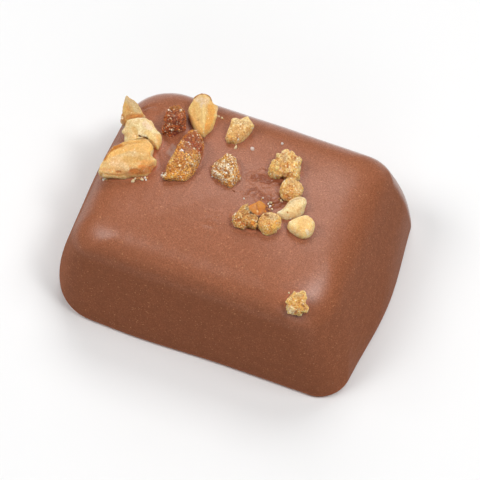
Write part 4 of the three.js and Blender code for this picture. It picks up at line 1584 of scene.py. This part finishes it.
class BONBON_OT_crumbs(bpy.types.Operator):
    """Drops the loose crumbs onto the coating"""

    bl_idname = "bonbon.crumbs"
    bl_label = "Crumbs"

    def execute(self, context):
        graph = context.evaluated_depsgraph_get()
        coating = BVHTree.FromObject(bpy.data.objects["coating"], graph)
        axes = seen_axes(context.scene.bonbon_stage)
        for kind, (hex_colour, roughness, slot) in CRUMB_KINDS.items():
            mine = [
                (node, crumb) for node, crumbs in CRUMBS.items()
                for crumb in crumbs if crumb.kind == kind
            ]
            finish = crumb_finish(f"{kind} crumb", hex_colour, roughness)
            piece = add_piece(f"{kind}_crumbs", crumb_mesh(mine, coating, axes), [finish])
            piece.data.shade_flat()
        return {"FINISHED"}


# Stage

# What the camera and the lights aim at, and the camera's shift as a share of the frame
AIM = Vector((-0.25, -0.12, 6.98)) * MM
FRAME_SHIFT = (0.0150, -0.0233)
SENSOR_WIDTH = 36

# The floor: half its width in metres, the size in millimetres of its clouds, and their tone
FLOOR_HALF = 1.5
FLOOR_CLOUDS = 40.0
FLOOR_TONE = 0.98

# Soft lights: direction from the bonbon (the camera's right, away from it, up), width and height in
# metres, and power in watts
Softbox = namedtuple("Softbox", "name towards width height power")
SOFTBOXES = (
    Softbox("back light", (0.15, 0.5, 0.85), 0.36, 0.2, 1.18),
    Softbox("low back light", (-0.1, 0.8, 0.6), 0.36, 0.2, 0.38),
    Softbox("right light", (0.44, -0.07, 0.89), 0.22, 0.22, 1.0),
    Softbox("corner light", (0.39, -0.24, 0.89), 0.09, 0.12, 0.8),
    Softbox("left light", (-0.55, -0.07, 0.83), 0.22, 0.22, 1.3),
    Softbox("front light", (0.0, -0.9, 0.45), 0.4, 0.25, 0.55),
    Softbox("left corner light", (-0.67, 0.2, 0.71), 0.12, 0.12, 0.2),
)
# How far they stand from the bonbon, in metres, and the strength of the light from all around
LIGHT_DISTANCE = 0.6
WORLD_LIGHT = 0.02


def add_camera(context, stage):
    """The camera at the photo's angle."""
    lens = bpy.data.cameras.new("camera")
    lens.lens = stage.lens
    lens.sensor_width = SENSOR_WIDTH
    lens.shift_x, lens.shift_y = FRAME_SHIFT
    lens.clip_start, lens.clip_end = 0.01, 10
    camera = place_object("camera", lens)
    back = camera_back(stage)
    camera.location = AIM + back * stage.distance
    camera.rotation_euler = (-back).to_track_quat("-Z", "Y").to_euler()
    context.scene.camera = camera


def add_softbox(stage, box):
    """A rectangular soft light that aims at the bonbon."""
    right = camera_right(stage)
    away = Vector((-right.y, right.x, 0))
    across, ahead, rise = box.towards
    direction = (right * across + away * ahead + UP * rise).normalized()
    lamp = bpy.data.lights.new(box.name, "AREA")
    lamp.shape = "RECTANGLE"
    lamp.size, lamp.size_y = box.width, box.height
    lamp.energy = box.power
    light = place_object(box.name, lamp)
    light.location = AIM + direction * LIGHT_DISTANCE
    light.rotation_euler = direction.to_track_quat("Z", "Y").to_euler()


def add_floor(stage):
    """A wide, pale, faintly clouded floor."""
    mesh = bpy.data.meshes.new("floor")
    corners = [(x * FLOOR_HALF, y * FLOOR_HALF, 0) for x, y in ((-1, -1), (1, -1), (1, 1), (-1, 1))]
    mesh.from_pydata(corners, [], [(0, 1, 2, 3)])
    finish = Finish("pale floor")
    darker = opaque([c * FLOOR_TONE for c in stage.floor])
    colour = finish.mix(finish.clouds(FLOOR_CLOUDS), opaque(stage.floor), darker)
    mesh.materials.append(finish.close(Base_Color=colour, Roughness=0.6))
    floor = place_object("floor", mesh)


def light_world(context):
    """A faint even light from all around."""
    world = bpy.data.worlds.new("studio")
    world.use_nodes = True
    plan = Plan(world.node_tree)
    glow = plan.add(
        "ShaderNodeBackground", {}, {"Color": (1, 1, 1, 1), "Strength": WORLD_LIGHT}
    )
    plan.add("ShaderNodeOutputWorld", {}, {"Surface": glow})
    context.scene.world = world


class BONBON_OT_stage(bpy.types.Operator):
    """Sets the floor, the soft lights and the camera"""

    bl_idname = "bonbon.stage"
    bl_label = "Stage"

    def execute(self, context):
        stage = context.scene.bonbon_stage
        add_camera(context, stage)
        for box in SOFTBOXES:
            add_softbox(stage, box)
        add_floor(stage)
        light_world(context)
        context.scene.view_settings.view_transform = "Standard"
        return {"FINISHED"}


OPERATORS = (
    BONBON_OT_stage,
    BONBON_OT_coating,
    BONBON_OT_broken_nuts,
    BONBON_OT_sugared_nuts,
    BONBON_OT_caramel_nuts,
    BONBON_OT_sugar,
    BONBON_OT_crumbs,
)


class BONBON_PT_panel(bpy.types.Panel):
    """Lists the steps and their settings"""

    bl_idname = "BONBON_PT_panel"
    bl_label = "Bonbon"
    bl_space_type = "VIEW_3D"
    bl_region_type = "UI"
    bl_category = "Bonbon"

    def draw(self, context):
        for name, group in SETTINGS.items():
            box = self.layout.box()
            for field in group.__annotations__:
                box.prop(getattr(context.scene, name), field)
        for operator in OPERATORS:
            self.layout.operator(operator.bl_idname)


def register():
    for group in (*SETTINGS.values(), *OPERATORS, BONBON_PT_panel):
        bpy.utils.register_class(group)
    for name, group in SETTINGS.items():
        setattr(bpy.types.Scene, name, bpy.props.PointerProperty(type=group))


def unregister():
    for name in SETTINGS:
        delattr(bpy.types.Scene, name)
    for group in reversed((*SETTINGS.values(), *OPERATORS, BONBON_PT_panel)):
        bpy.utils.unregister_class(group)


def main():
    """Makes every piece and the stage."""
    register()
    for operator in OPERATORS:
        folder, name = operator.bl_idname.split(".")
        getattr(getattr(bpy.ops, folder), name)()


if __name__ == "__main__":
    main()
